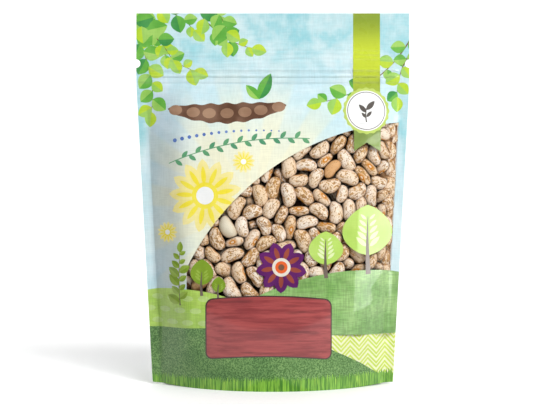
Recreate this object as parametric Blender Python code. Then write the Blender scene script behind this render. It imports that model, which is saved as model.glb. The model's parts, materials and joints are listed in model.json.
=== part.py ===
"""A stand-up pouch of dried speckled beans, with a clear window on its front.

Metres, +Z up. The pouch stands on z = 0, centred on x = y = 0, with its front towards -Y.
It has three solids: the printed pouch, the beans that the window shows, and the clear window film.
Run it with: blender --background --python part.py
"""

import math

import bmesh
import bpy
import numpy as np
from mathutils import Vector
from mathutils.geometry import delaunay_2d_cdt

# Pouch, overall. Its outline is the flat shape seen from the front.
POUCH_HEIGHT = 0.245
HALF_WIDTH_TOP = 0.090
HALF_WIDTH_BASE = 0.0795
TAPER_HEIGHT = 0.196
SIDE_SEAL = 0.0062
SHEET_THICKNESS = 0.0006
CORNER_LIFT = 0.0015
CORNER_LIFT_FROM = 0.55

# Pouch, filled depth: a wedge from the base up, with a belly, that rounds off into the zipper.
BASE_HALF_DEPTH = 0.0335
NECK_HALF_DEPTH = 0.0125
NECK_HEIGHT = 0.185
SHOULDER_HEIGHT = 0.158
FILL_HEIGHT = 0.1985
BELLY_SWELL = 0.0030
BELLY_HEIGHT = 0.110
BASE_SECTION_POWER = 2.1
BODY_SECTION_POWER = 3.2
BODY_SECTION_HEIGHT = 0.055

# Press-to-close zipper: two ridges across the header, which shows on both faces.
ZIPPER_RIDGES = (0.2040, 0.2078)
RIDGE_RISE = 0.0009
RIDGE_HALF_WIDTH = 0.0014

# Half-round tear notches in both side edges.
NOTCH_HEIGHT = 0.2118
NOTCH_RADIUS = 0.0028
NOTCH_STEPS = 6

# Gusset: the underside is set up inside a narrow standing rim.
RIM_WIDTH = 0.0014
GUSSET_RISE = 0.0030
GUSSET_REACH = 0.92

# Window: everything inside a large circle, between a left edge and the right seal, above two hills.
# A hill is its crest's x and height, and how sharply it falls away, per metre.
ARC_CENTRE_X = 0.0973
ARC_CENTRE_Z = 0.0035
ARC_RADIUS = 0.1702
WINDOW_LEFT = -0.0557
WINDOW_RIGHT_INSET = 0.0072
LEFT_HILL = (-0.062, 0.0646, 4.5)
RIGHT_HILL = (0.058, 0.0767, 3.5)
HILLS_MEET = 0.056
WINDOW_STEP = 0.006

# Pocket behind the window, and what fills it.
POCKET_DEPTH = 0.0105
FILM_THICKNESS = 0.0004
GAP = 0.00035
FILM_GAP = 0.0006
FLOOR_GAP = 0.0010
HEAP_RIGHT_INSET = 0.0100
CORE_MARGIN = 0.0030
CORE_LEAST = 0.0010
CORE_DEPTH = 0.0060

# One bean. BALL_SPREAD places the balls that stand in for it while the heap is packed.
BEAN_LENGTH = 0.0142
BEAN_WIDTH = 0.0092
BEAN_THICKNESS = 0.0070
BEAN_SPREAD = 0.07
BEAN_BEND = 0.0011
BEAN_SIDES = 7
BEAN_RINGS = 4
BALL_SPREAD = 0.0016

# The heap of them, in layers behind the film. Some beans stand on edge.
HEAP_SEED = 7
HEAP_MARGIN = 0.009
HEAP_LAYERS = 3
HEAP_SPACING = 0.0108
HEAP_JITTER = 0.28
FIRST_LAYER_DEPTH = 0.0042
LAYER_DEPTH = 0.0072
ON_EDGE_SHARE = 0.30
TIP_SPREAD = 0.3
ROLL_SPREAD = 0.5
PACKING_STEPS = 260
SETTLING = 0.00015
BACK_GAP = 0.0010
BACK_FIRMNESS = 0.35
SHOWN_DEPTH = 0.0059

# Mesh spacing of the solids. No grid point lies closer to the window's edge than EDGE_CLEARANCE.
COLUMNS = 18
ROW_STEP = 0.0095
EDGE_CLEARANCE = 0.0024
CREASE_ANGLE = math.radians(35)

COLOURS = {
    "pouch": (0.60, 0.82, 0.84, 1.0),
    "beans": (0.66, 0.50, 0.36, 1.0),
    "window_film": (0.95, 0.97, 0.97, 0.2),
}


def half_width(z):
    """Half the flat width of the pouch at height z."""
    down = np.clip(1 - z / TAPER_HEIGHT, 0, 1)
    return HALF_WIDTH_TOP - (HALF_WIDTH_TOP - HALF_WIDTH_BASE) * down


def half_depth(z):
    """Half the depth of the filled body on its centre line at height z."""
    wedge = BASE_HALF_DEPTH - (BASE_HALF_DEPTH - NECK_HALF_DEPTH) * z / NECK_HEIGHT
    belly = BELLY_SWELL * np.sin(math.pi * np.clip(z / BELLY_HEIGHT, 0, 1)) ** 2
    shoulder = np.clip((z - SHOULDER_HEIGHT) / (FILL_HEIGHT - SHOULDER_HEIGHT), 0, 1)
    return (wedge + belly) * (1 - shoulder**2) ** 0.7


def section_power(z):
    """The section is a lens at the base, and squarer up the body."""
    rise = np.clip(z / BODY_SECTION_HEIGHT, 0, 1)
    return BASE_SECTION_POWER + (BODY_SECTION_POWER - BASE_SECTION_POWER) * rise**2 * (3 - 2 * rise)


def face_depth(x, z):
    """How far the front or back face stands from the plane of the seals."""
    inner = half_width(z) - SIDE_SEAL
    across = np.clip(np.abs(x) / inner, 0, 1)
    body = half_depth(z) * (1 - across ** section_power(z))
    ridge = 0.0
    for height in ZIPPER_RIDGES:
        off = np.clip(np.abs(z - height) / RIDGE_HALF_WIDTH, 0, 1)
        ridge = ridge + RIDGE_RISE * (1 - off**2) * (across < 1)
    return SHEET_THICKNESS / 2 + body + ridge


def face_slope(x, z):
    """Slopes of face_depth along x and z."""
    step = 1e-5
    along_x = (face_depth(x + step, z) - face_depth(x - step, z)) / (2 * step)
    along_z = (face_depth(x, z + step) - face_depth(x, z - step)) / (2 * step)
    return along_x, along_z


def base_height(x):
    """The bottom edge: flat on the floor, a little lifted at the corners."""
    out = np.clip(np.abs(x) / HALF_WIDTH_BASE - CORNER_LIFT_FROM, 0, 1)
    return CORNER_LIFT * (out / (1 - CORNER_LIFT_FROM)) ** 2


def hill_height(x):
    """The line of two hills that bounds the window from below."""
    left, right = (top - fall * (x - crest) ** 2 for crest, top, fall in (LEFT_HILL, RIGHT_HILL))
    return np.maximum(left, right)


def window_right(z, right_inset=WINDOW_RIGHT_INSET):
    return half_width(z) - right_inset


def pouch_outline():
    """The flat outline as (x, z) points, counterclockwise from the bottom left corner."""
    shares = np.linspace(-1, 1, COLUMNS + 1)
    bottom = [(HALF_WIDTH_BASE * s, float(base_height(HALF_WIDTH_BASE * s))) for s in shares]
    corner_z = bottom[-1][1]
    notch_low = NOTCH_HEIGHT - NOTCH_RADIUS
    notch_high = NOTCH_HEIGHT + NOTCH_RADIUS
    rise = np.arange(corner_z + ROW_STEP, notch_low - ROW_STEP / 2, ROW_STEP)
    right = [(float(half_width(z)), float(z)) for z in rise]
    turns = [math.pi * k / NOTCH_STEPS for k in range(NOTCH_STEPS + 1)]
    right += [
        (HALF_WIDTH_TOP - NOTCH_RADIUS * math.sin(a), NOTCH_HEIGHT - NOTCH_RADIUS * math.cos(a))
        for a in turns
    ]
    right += [(HALF_WIDTH_TOP, z) for z in np.linspace(notch_high, POUCH_HEIGHT, 5)[1:-1]]
    top = [(HALF_WIDTH_TOP * s, POUCH_HEIGHT) for s in shares[::-1]]
    left = [(-x, z) for x, z in reversed(right)]
    return bottom + right + top + left


def window_outline(inset=0.0, right_inset=WINDOW_RIGHT_INSET, step=WINDOW_STEP):
    """The window's outline as (x, z) points, counterclockwise, moved in by inset."""
    radius = ARC_RADIUS - inset
    left = WINDOW_LEFT + inset
    corner_z = ARC_CENTRE_Z + radius
    for _ in range(20):
        corner_x = float(window_right(corner_z, right_inset)) - inset
        corner_z = ARC_CENTRE_Z + math.sqrt(radius**2 - (corner_x - ARC_CENTRE_X) ** 2)
    first = math.atan2(corner_z - ARC_CENTRE_Z, corner_x - ARC_CENTRE_X)
    last = math.pi - math.acos((ARC_CENTRE_X - left) / radius)
    arc = [
        (ARC_CENTRE_X + radius * math.cos(a), ARC_CENTRE_Z + radius * math.sin(a))
        for a in np.linspace(first, last, 1 + round(radius * (last - first) / step))
    ]
    low_z = float(hill_height(left)) + inset
    side = [(left, z) for z in np.linspace(arc[-1][1], low_z, 4)[1:]]
    right_x = float(window_right(RIGHT_HILL[1], right_inset)) - inset
    floor_x = np.linspace(left, right_x, 1 + round((right_x - left) / step))
    floor = [(float(x), float(hill_height(x)) + inset) for x in floor_x[1:]]
    right_z = np.linspace(floor[-1][1], corner_z, 1 + round((corner_z - floor[-1][1]) / step))
    right = [(float(window_right(z, right_inset)) - inset, float(z)) for z in right_z[1:-1]]
    return arc + side + floor + right


def in_window(x, z, grow, right_inset=WINDOW_RIGHT_INSET):
    """True where (x, z) lies in the window grown by that much on every side."""
    return (
        (np.hypot(x - ARC_CENTRE_X, z - ARC_CENTRE_Z) < ARC_RADIUS + grow)
        & (x > WINDOW_LEFT - grow)
        & (x < window_right(z, right_inset) + grow)
        & (z > hill_height(x) - grow)
    )


def off_window_edge(x, z):
    return not in_window(x, z, EDGE_CLEARANCE) or in_window(x, z, -EDGE_CLEARANCE)


def grid_points(inside):
    """Points over the face, in columns that follow its taper, where inside(x, z) holds."""
    rows = list(np.arange(ROW_STEP, FILL_HEIGHT - 0.002, ROW_STEP))
    rows += [FILL_HEIGHT - 0.0035, FILL_HEIGHT - 0.0012, FILL_HEIGHT + 0.0015]
    for height in ZIPPER_RIDGES:
        rows += [height - RIDGE_HALF_WIDTH, height, height + RIDGE_HALF_WIDTH]
    rows += list(np.linspace(NOTCH_HEIGHT + NOTCH_RADIUS, POUCH_HEIGHT, 5)[:-1])
    points = []
    for z in rows:
        inner = float(half_width(z)) - SIDE_SEAL
        shares = np.linspace(-1, 1, COLUMNS - 1)
        shares = list(shares) + [-0.965, 0.965]
        points += [(inner * s, float(z)) for s in shares if inside(inner * s, z)]
    return points


def triangulated(loops, loose):
    """Points and triangles of the region inside the first loop, with the other loops' edges kept."""
    points = [Vector(p) for p in loose]
    faces = []
    for loop in loops:
        faces.append(list(range(len(points), len(points) + len(loop))))
        points += [Vector(p) for p in loop]
    made = delaunay_2d_cdt(points, [], faces, 0, 1e-7, True)
    kept = [(face, owners) for face, owners in zip(made[2], made[5]) if 0 in owners]
    xz = np.array([tuple(p) for p in made[0]])
    return xz, kept


def add_sheet(bm, xz, faces, depth_of, away):
    """Adds a sheet of faces at y = depth_of(x, z). away is -1 if its outer side faces -Y."""
    used = sorted({i for face in faces for i in face})
    heights = depth_of(xz[used, 0], xz[used, 1])
    made = {
        i: bm.verts.new((xz[i, 0], float(y), xz[i, 1])) for i, y in zip(used, heights)
    }
    for face in faces:
        corners = [made[i] for i in face]
        bm.faces.new(corners if away < 0 else corners[::-1])
    return made


def edge_loop_of(faces):
    """The directed edges that only one of the faces has."""
    edges = {(a, b) for face in faces for a, b in zip(face, face[1:] + face[:1])}
    return [(a, b) for a, b in edges if (b, a) not in edges]


def add_wall(bm, edges, near, far):
    """Joins two sheets along these edges, which run round the near sheet as its faces do."""
    for a, b in edges:
        bm.faces.new([near[b], near[a], far[a], far[b]])


def window_slab(name, inset, right_inset, near_depth, far_depth):
    """A closed slab over the window moved in by inset, from y = near_depth(x, z) to y = far_depth(x, z)."""
    clear = inset + EDGE_CLEARANCE
    loose = grid_points(lambda x, z: in_window(x, z, -clear, right_inset))
    xz, kept = triangulated([window_outline(inset, right_inset)], loose)
    faces = [face for face, _ in kept]
    bm = bmesh.new()
    near = add_sheet(bm, xz, faces, near_depth, -1)
    far = add_sheet(bm, xz, faces, far_depth, 1)
    add_wall(bm, edge_loop_of(faces), near, far)
    return finished_mesh(bm, name)


def finished_mesh(bm, name):
    """The mesh of this closed body, with every face turned outward."""
    bmesh.ops.recalc_face_normals(bm, faces=bm.faces)
    if bm.calc_volume(signed=True) < 0:
        bmesh.ops.reverse_faces(bm, faces=bm.faces)
    mesh = bpy.data.meshes.new(name)
    bm.to_mesh(mesh)
    bm.free()
    return mesh


def add_object(name, mesh, shown=True):
    made = bpy.data.objects.new(name, mesh)
    bpy.context.scene.collection.objects.link(made)
    if not shown:
        made.hide_render = True
        made.display_type = "WIRE"
    return made


def shade_smooth(obj):
    obj.data.shade_smooth()
    obj.data.set_sharp_from_angle(angle=CREASE_ANGLE)


def give_material(obj, roughness):
    red, green, blue, alpha = COLOURS[obj.name]
    material = bpy.data.materials.new(obj.name)
    material.use_nodes = True
    shader = material.node_tree.nodes["Principled BSDF"]
    shader.inputs["Base Color"].default_value = (red, green, blue, 1.0)
    shader.inputs["Roughness"].default_value = roughness
    shader.inputs["Metallic"].default_value = 0.0
    shader.inputs["Alpha"].default_value = alpha
    obj.data.materials.append(material)


def pocket_depth(x, z):
    """Depth of the pocket behind the window. It runs out at the right seal, where the pouch is thin."""
    return POCKET_DEPTH * np.tanh(face_depth(x, z) / POCKET_DEPTH)


def make_pouch():
    """The printed pouch: both faces, the seals, the header with its zipper, the pocket and the gusset."""
    xz, kept = triangulated([pouch_outline(), window_outline()], grid_points(off_window_edge))
    body = [face for face, owners in kept if 1 not in owners]
    pocket = [face for face, owners in kept if 1 in owners]
    bm = bmesh.new()
    front = add_sheet(bm, xz, body, lambda x, z: -face_depth(x, z), -1)
    floor = add_sheet(bm, xz, pocket, lambda x, z: pocket_depth(x, z) - face_depth(x, z), -1)
    back = add_sheet(bm, xz, [face for face, _ in kept], face_depth, 1)
    rim = edge_loop_of(body)
    mouth = [(a, b) for a, b in rim if a in floor and b in floor]
    outer = [edge for edge in rim if edge not in set(mouth)]
    add_wall(bm, mouth, front, floor)
    add_wall(bm, outer, front, back)
    pouch = add_object("pouch", finished_mesh(bm, "pouch"))
    cut = pouch.modifiers.new("gusset", "BOOLEAN")
    cut.operation = "DIFFERENCE"
    cut.object = make_gusset_cutter()
    shade_smooth(pouch)
    give_material(pouch, 0.4)


def make_gusset_cutter():
    """The hollow under the pouch: the base outline less the rim, from below the floor up to the gusset."""
    reach = GUSSET_REACH * (HALF_WIDTH_BASE - SIDE_SEAL)
    xs = np.linspace(-reach, reach, COLUMNS + 1)
    depths = face_depth(xs, 0 * xs) - RIM_WIDTH
    ring = [(x, -d) for x, d in zip(xs, depths)] + [(x, d) for x, d in zip(xs[::-1], depths[::-1])]
    bm = bmesh.new()
    low = [bm.verts.new((x, y, -GUSSET_RISE)) for x, y in ring]
    high = [bm.verts.new((x, y, GUSSET_RISE)) for x, y in ring]
    bm.faces.new(low[::-1])
    bm.faces.new(high)
    count = len(ring)
    for k in range(count):
        bm.faces.new([low[k], low[(k + 1) % count], high[(k + 1) % count], high[k]])
    return add_object("gusset_cutter", finished_mesh(bm, "gusset_cutter"), shown=False)


def turn_matrices(vectors):
    """Rotation matrices, one for each rotation vector."""
    angle = np.linalg.norm(vectors, axis=1)
    axis = vectors / np.maximum(angle, 1e-12)[:, None]
    x, y, z = axis.T
    zero = np.zeros_like(x)
    cross = np.stack([zero, -z, y, z, zero, -x, -y, x, zero], axis=1).reshape(-1, 3, 3)
    sine, cosine = np.sin(angle)[:, None, None], np.cos(angle)[:, None, None]
    return np.eye(3) + sine * cross + (1 - cosine) * (cross @ cross)


def squared_up(frames):
    """The same frames with their axes made square to each other again."""
    long_axis = frames[:, :, 0] / np.linalg.norm(frames[:, :, 0], axis=1)[:, None]
    wide = frames[:, :, 1] - (frames[:, :, 1] * long_axis).sum(1)[:, None] * long_axis
    wide = wide / np.linalg.norm(wide, axis=1)[:, None]
    return np.stack([long_axis, wide, np.cross(long_axis, wide)], axis=2)


def start_heap(rng):
    """Loose beans in layers behind the window: centres, frames of three axes, and sizes."""
    places, turns = [], []
    low_z = HILLS_MEET - HEAP_MARGIN
    high_z = ARC_CENTRE_Z + ARC_RADIUS + HEAP_MARGIN
    for layer in range(HEAP_LAYERS):
        for row, z in enumerate(np.arange(low_z, high_z, HEAP_SPACING * math.sqrt(0.75))):
            start = WINDOW_LEFT - HEAP_MARGIN + (row % 2) * HEAP_SPACING / 2
            for x in np.arange(start, HALF_WIDTH_TOP, HEAP_SPACING):
                at = np.array([x, z]) + rng.uniform(-HEAP_JITTER, HEAP_JITTER, 2) * HEAP_SPACING
                turn = rng.uniform(-math.pi, math.pi)
                tip = rng.normal(0, TIP_SPREAD)
                roll = rng.normal(0, ROLL_SPREAD) + math.pi / 2 * (rng.random() < ON_EDGE_SHARE)
                if in_window(at[0], at[1], HEAP_MARGIN, SIDE_SEAL + HEAP_MARGIN + BEAN_THICKNESS / 2):
                    places.append((at[0], at[1], layer))
                    turns.append((turn, tip, roll))
    x, z, layer = np.array(places).T
    room = face_depth(x, z)
    depth = FIRST_LAYER_DEPTH + LAYER_DEPTH * layer
    centres = np.stack([x, np.minimum(depth - room, 0.6 * room), z], axis=1)
    turn, tip, roll = np.array(turns).T
    spun = turn_matrices(np.outer(turn, [0, 1.0, 0]))
    tipped = turn_matrices(np.outer(tip, [0, 0, 1.0]))
    rolled = turn_matrices(np.outer(roll, [1.0, 0, 0]))
    broad_side_out = turn_matrices(np.array([[math.pi / 2, 0, 0]]))
    sizes = 1 + BEAN_SPREAD * np.clip(rng.normal(0, 1, len(x)), -2, 2)
    return centres, spun @ tipped @ rolled @ broad_side_out, sizes


def ball_offsets():
    """Centres of the six balls that stand in for one bean."""
    end = (BEAN_LENGTH - BEAN_THICKNESS) / 2
    side = (BEAN_WIDTH - BEAN_THICKNESS) / 2
    sides = [(x, y, 0) for x in (-BALL_SPREAD, BALL_SPREAD) for y in (-side, side)]
    return np.array([(-end, 0, 0), (end, 0, 0)] + sides)


def push_beans_apart(centres, arms, radii, pairs):
    """Each bean's push away from its neighbours, the push's turning effect, and the number of touches."""
    first, second = pairs
    balls = centres[:, None] + arms
    line = balls[first][:, :, None] - balls[second][:, None]
    length = np.sqrt((line**2).sum(3)) + 1e-9
    over = np.clip((radii[first] + radii[second])[:, None, None] - length, 0, None)
    push = 0.5 * over[..., None] * line / length[..., None]
    count = len(centres)
    shift, twist = np.zeros((count, 3)), np.zeros((count, 3))
    for owner, force in ((first, push.sum(2)), (second, -push.sum(1))):
        turning = np.cross(arms[owner], force)
        for axis in range(3):
            shift[:, axis] += np.bincount(owner, force[:, :, axis].sum(1), count)
            twist[:, axis] += np.bincount(owner, turning[:, :, axis].sum(1), count)
    touching = (over > 0).sum((1, 2))
    return shift, twist, np.bincount(first, touching, count) + np.bincount(second, touching, count)


def push_beans_in(centres, arms, radii, face, wall, firmness):
    """The same for one face of the pouch: -1 is the front film, 1 the back."""
    balls = centres[:, None] + arms
    slope_x, slope_z = face_slope(balls[..., 0], balls[..., 2])
    inward = np.stack([slope_x, np.full_like(slope_x, -face), slope_z], axis=2)
    inward = inward / np.sqrt((inward**2).sum(2))[..., None]
    room = face_depth(balls[..., 0], balls[..., 2])
    from_face = (room - face * balls[..., 1]) * np.abs(inward[..., 1])
    over = firmness * np.clip(radii[:, None] + wall - from_face, 0, BEAN_THICKNESS / 4)
    force = over[..., None] * inward
    return force.sum(1), np.cross(arms, force).sum(1), (over > 0).sum(1)


def pack_heap():
    """Settles the beans against the film and each other, in small steps: centres, frames and sizes."""
    centres, frames, sizes = start_heap(np.random.default_rng(HEAP_SEED))
    local = ball_offsets()[None] * sizes[:, None, None]
    radii = BEAN_THICKNESS / 2 * sizes
    for step in range(PACKING_STEPS):
        if step % 10 == 0:
            apart = np.linalg.norm(centres[:, None] - centres[None], axis=2)
            pairs = np.nonzero(np.triu(apart < 1.25 * BEAN_LENGTH, 1))
        arms = np.einsum("nij,nkj->nki", frames, local)
        pushes = [
            push_beans_apart(centres, arms, radii, pairs),
            push_beans_in(centres, arms, radii, -1, FILM_THICKNESS + FILM_GAP, 1.0),
            push_beans_in(centres, arms, radii, 1, BACK_GAP, BACK_FIRMNESS),
        ]
        shift, twist, touches = (sum(parts) for parts in zip(*pushes))
        touches = np.maximum(touches, 1)[:, None]
        drift = SETTLING * max(0.0, 1 - 1.25 * step / PACKING_STEPS)
        centres = centres + 1.25 * shift / touches**0.75 - drift * np.array([0, 1.0, 0.3])
        turn = 0.9 * twist / (BEAN_LENGTH / 2) ** 2 / touches**0.6
        frames = squared_up(turn_matrices(np.clip(turn, -0.2, 0.2)) @ frames)
        centres, frames = np.round(centres, 8), np.round(frames, 6)
    return centres, squared_up(frames), sizes


def bean_points():
    """A bean about its own centre: rings along X, wide along Y, with a hollow side at -Y."""
    rings = [[(-1.0, 0.0, 0.0)]]
    for k in range(1, BEAN_RINGS + 1):
        polar = math.pi * k / (BEAN_RINGS + 1)
        along, girth = -math.cos(polar), math.sin(polar) ** 0.8
        turns = [2 * math.pi * s / BEAN_SIDES for s in range(BEAN_SIDES)]
        rings.append([(along, girth * math.cos(a), girth * math.sin(a)) for a in turns])
    rings.append([(1.0, 0.0, 0.0)])
    half = np.array([BEAN_LENGTH, BEAN_WIDTH, BEAN_THICKNESS]) / 2
    return [
        [(x * half[0], y * half[1] + BEAN_BEND * (0.5 - x * x), z * half[2]) for x, y, z in ring]
        for ring in rings
    ]


def add_bean(centre, frame, size, collection):
    """One low-sided bean, as an object in the collection."""
    bm = bmesh.new()
    rings = []
    for ring in bean_points():
        spots = [frame @ (np.array(p) * size) + centre for p in ring]
        rings.append([bm.verts.new(tuple(map(float, p))) for p in spots])
    for near, far in zip(rings, rings[1:]):
        for k in range(BEAN_SIDES):
            a, b = near[k % len(near)], near[(k + 1) % len(near)]
            c, d = far[(k + 1) % len(far)], far[k % len(far)]
            bm.faces.new(list(dict.fromkeys([a, b, c, d])))
    made = bpy.data.objects.new("bean", finished_mesh(bm, "bean"))
    collection.objects.link(made)


def apply_modifiers(obj):
    """Replaces the object's mesh with what its modifiers make of it."""
    graph = bpy.context.evaluated_depsgraph_get()
    graph.update()
    mesh = bpy.data.meshes.new_from_object(obj.evaluated_get(graph))
    obj.modifiers.clear()
    obj.data = mesh


def keep_largest_piece(mesh):
    """Drops the scraps that the cut leaves loose."""
    bm = bmesh.new()
    bm.from_mesh(mesh)
    bm.verts.ensure_lookup_table()
    seen, pieces = set(), []
    for start in bm.verts:
        if start in seen:
            continue
        piece, stack = set(), [start]
        while stack:
            vert = stack.pop()
            if vert not in piece:
                piece.add(vert)
                stack += [edge.other_vert(vert) for edge in vert.link_edges]
        seen |= piece
        pieces.append(piece)
    largest = max(pieces, key=len)
    bmesh.ops.delete(bm, geom=[v for v in bm.verts if v not in largest], context="VERTS")
    bm.to_mesh(mesh)
    bm.free()


def fuse_beans(core):
    """Joins the beans nearest the film to the core. The heap's collection is removed again."""
    heap = bpy.data.collections.new("heap")
    bpy.context.scene.collection.children.link(heap)
    for centre, frame, size in zip(*pack_heap()):
        depth = centre[1] + float(face_depth(centre[0], centre[2]))
        if depth < SHOWN_DEPTH and in_window(centre[0], centre[2], BEAN_THICKNESS / 4):
            add_bean(centre, frame, size, heap)
    union = core.modifiers.new("fuse", "BOOLEAN")
    union.operation = "UNION"
    union.operand_type = "COLLECTION"
    union.collection = heap
    union.solver = "MANIFOLD"
    apply_modifiers(core)
    for bean in list(heap.objects):
        bpy.data.objects.remove(bean)
    bpy.data.collections.remove(heap)


def make_beans():
    """The heap that the window shows: a core with the front beans fused on, cut to the pocket."""

    def film_y(x, z):
        return FILM_THICKNESS + FILM_GAP - face_depth(x, z)

    def floor_y(x, z):
        return pocket_depth(x, z) - FLOOR_GAP - face_depth(x, z)

    def core_back_y(x, z):
        return floor_y(x, z) - GAP

    def core_front_y(x, z):
        return np.minimum(CORE_DEPTH - face_depth(x, z), core_back_y(x, z) - CORE_LEAST)

    core = window_slab("beans", CORE_MARGIN, HEAP_RIGHT_INSET, core_front_y, core_back_y)
    beans = add_object("beans", core)
    fuse_beans(beans)
    cavity = window_slab("cavity", GAP, HEAP_RIGHT_INSET, film_y, floor_y)
    cavity = add_object("cavity", cavity, shown=False)
    trim = beans.modifiers.new("trim", "BOOLEAN")
    trim.operation = "INTERSECT"
    trim.object = cavity
    trim.solver = "MANIFOLD"
    apply_modifiers(beans)
    bpy.data.objects.remove(cavity)
    keep_largest_piece(beans.data)
    give_material(beans, 0.5)


def make_window_film():
    """The clear part of the front: a thin sheet flush with the print around it."""

    def outer_y(x, z):
        return -face_depth(x, z)

    def inner_y(x, z):
        return FILM_THICKNESS - face_depth(x, z)

    film = window_slab("window_film", GAP, WINDOW_RIGHT_INSET, outer_y, inner_y)
    film = add_object("window_film", film)
    shade_smooth(film)
    give_material(film, 0.15)


def main():
    for old in list(bpy.data.objects):
        bpy.data.objects.remove(old)
    make_pouch()
    make_beans()
    make_window_film()


main()
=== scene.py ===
"""Looks for a stand-up pouch of dried speckled beans with a clear window on its front.

Metres, +Z up, front towards -Y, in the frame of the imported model.
The printed film is thin closed sheets. Its print is cut into flat fields, each with its own material.
"""

import json
import math

import bpy
import numpy as np
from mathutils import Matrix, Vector
from mathutils.geometry import delaunay_2d_cdt

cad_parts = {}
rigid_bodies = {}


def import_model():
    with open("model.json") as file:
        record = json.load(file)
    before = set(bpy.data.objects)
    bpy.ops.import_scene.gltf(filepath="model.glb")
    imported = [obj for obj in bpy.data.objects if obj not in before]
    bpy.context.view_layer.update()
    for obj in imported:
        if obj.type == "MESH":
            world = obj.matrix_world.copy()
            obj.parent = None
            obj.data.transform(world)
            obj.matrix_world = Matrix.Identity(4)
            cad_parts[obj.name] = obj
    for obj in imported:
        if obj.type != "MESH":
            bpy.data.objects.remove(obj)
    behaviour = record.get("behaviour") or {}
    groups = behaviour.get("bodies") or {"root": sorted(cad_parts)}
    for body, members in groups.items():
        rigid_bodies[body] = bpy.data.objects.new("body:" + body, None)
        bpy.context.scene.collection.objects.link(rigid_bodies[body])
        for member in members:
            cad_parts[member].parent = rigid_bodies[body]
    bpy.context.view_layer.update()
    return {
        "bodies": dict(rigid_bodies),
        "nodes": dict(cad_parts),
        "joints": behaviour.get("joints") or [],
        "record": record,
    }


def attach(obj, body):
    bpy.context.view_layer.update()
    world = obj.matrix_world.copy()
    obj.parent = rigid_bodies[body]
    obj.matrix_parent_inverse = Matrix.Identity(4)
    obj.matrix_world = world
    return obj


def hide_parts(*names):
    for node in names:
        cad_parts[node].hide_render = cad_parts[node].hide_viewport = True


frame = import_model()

MM = 0.001

# Pouch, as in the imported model.
POUCH_HEIGHT = 0.245
HALF_WIDTH_TOP = 0.090
HALF_WIDTH_BASE = 0.0795
TAPER_HEIGHT = 0.196
SIDE_SEAL = 0.0062
SHEET_THICKNESS = 0.0006
CORNER_LIFT = 0.0015
CORNER_LIFT_FROM = 0.55
BASE_HALF_DEPTH = 0.0335
NECK_HALF_DEPTH = 0.0125
NECK_HEIGHT = 0.185
SHOULDER_HEIGHT = 0.158
FILL_HEIGHT = 0.1985
BELLY_SWELL = 0.0030
BELLY_HEIGHT = 0.110
SHOULDER_POWER = 0.7
BASE_SECTION_POWER = 2.1
BODY_SECTION_POWER = 3.2
BODY_SECTION_HEIGHT = 0.055
ZIPPER_RIDGES = (0.2040, 0.2078)
RIDGE_RISE = 0.0009
RIDGE_HALF_WIDTH = 0.0014
RIDGE_FADE = 0.96
NOTCH_HEIGHT = 0.2118
NOTCH_RADIUS = 0.0028
ARC_CENTRE_X = 0.0973
ARC_CENTRE_Z = 0.0035
ARC_RADIUS = 0.1702
WINDOW_LEFT = -0.0557
LEFT_HILL = (-0.062, 0.0646, 4.5)
RIGHT_HILL = (0.058, 0.0767, 3.5)
HILLS_MEET = 0.056
POCKET_DEPTH = 0.0105

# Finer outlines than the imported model's.
WINDOW_RIGHT_INSET = 0.0056
FOLD_SHARE = 0.11
FOLD_PLACE = 0.74
FOLD_REACH = (0.12, 0.14)
OUTLINE_STEP = 0.0015
NOTCH_STEPS = 14
PRINT_THICKNESS = 0.00022
FILM_THICKNESS = 0.00012

# Dents and ripples of the film. Each form's place is two ranges of height: it fades in, then out.
BODY_CREASES = ((0.018, 0.045), (0.190, 0.199))
DENT_DEPTH = 0.00022
PULL_DEPTH = 0.00016
PULL_SPACING = 0.0125
HEADER_WAVES = ((0.199, 0.206), (0.240, 0.245))
HEADER_BEND = 0.0005
RIPPLE_HEIGHT = 0.2165
RIPPLE_REACH = 0.0040
RIPPLE_SPACING = 0.0030
RIPPLE_DEPTH = 0.00034
OVERHANG = 0.0011
OVERHANG_PLACE = ((0.198, 0.211), (0.211, 0.232))
FILL_LINE_DEPTH = 0.0005
FILL_LINE_PLACE = ((0.1988, 0.2000), (0.2000, 0.2100))

# Grid points over a face. Rows are from, to and step, closest at the strip and the ridges.
GRID_ROWS = ((0.0021, 0.196, 0.0021), (0.1965, 0.228, 0.0007), (0.229, 0.244, 0.002))
GRID_COLUMNS = 92
GRID_BUNCHING = 0.45
GRID_REACH = 0.998
GRID_ABOVE_BASE = 0.0006
SEAL_POINTS_ABOVE = 0.003

# The heap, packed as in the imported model.
BEAN_LENGTH = 0.0142
BEAN_WIDTH = 0.0092
BEAN_THICKNESS = 0.0070
BEAN_SIZE = np.array([BEAN_LENGTH, BEAN_WIDTH, BEAN_THICKNESS])
BEAN_SPREAD = 0.07
BEAN_BEND = 0.0011
BALL_SPREAD = 0.0016
HEAP_SEED = 7
HEAP_MARGIN = 0.009
HEAP_LAYERS = 3
HEAP_SPACING = 0.0108
HEAP_JITTER = 0.28
FIRST_LAYER_DEPTH = 0.0042
LAYER_DEPTH = 0.0072
ON_EDGE_SHARE = 0.30
TIP_SPREAD = 0.3
ROLL_SPREAD = 0.5
PACKING_STEPS = 260
START_DEPTH_LIMIT = 0.6
NEIGHBOUR_REACH = 1.25
NEIGHBOUR_UPDATE = 10
PUSH_RATE = 1.25
TURN_RATE = 0.9
TURN_LIMIT = 0.2
SETTLING = 0.00015
SETTLING_FADE = 1.25
SETTLING_WAY = np.array([0, 1.0, 0.3])
BACK_GAP = 0.0010
BACK_FIRMNESS = 0.35
HEAP_WALL = 0.0010

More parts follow.
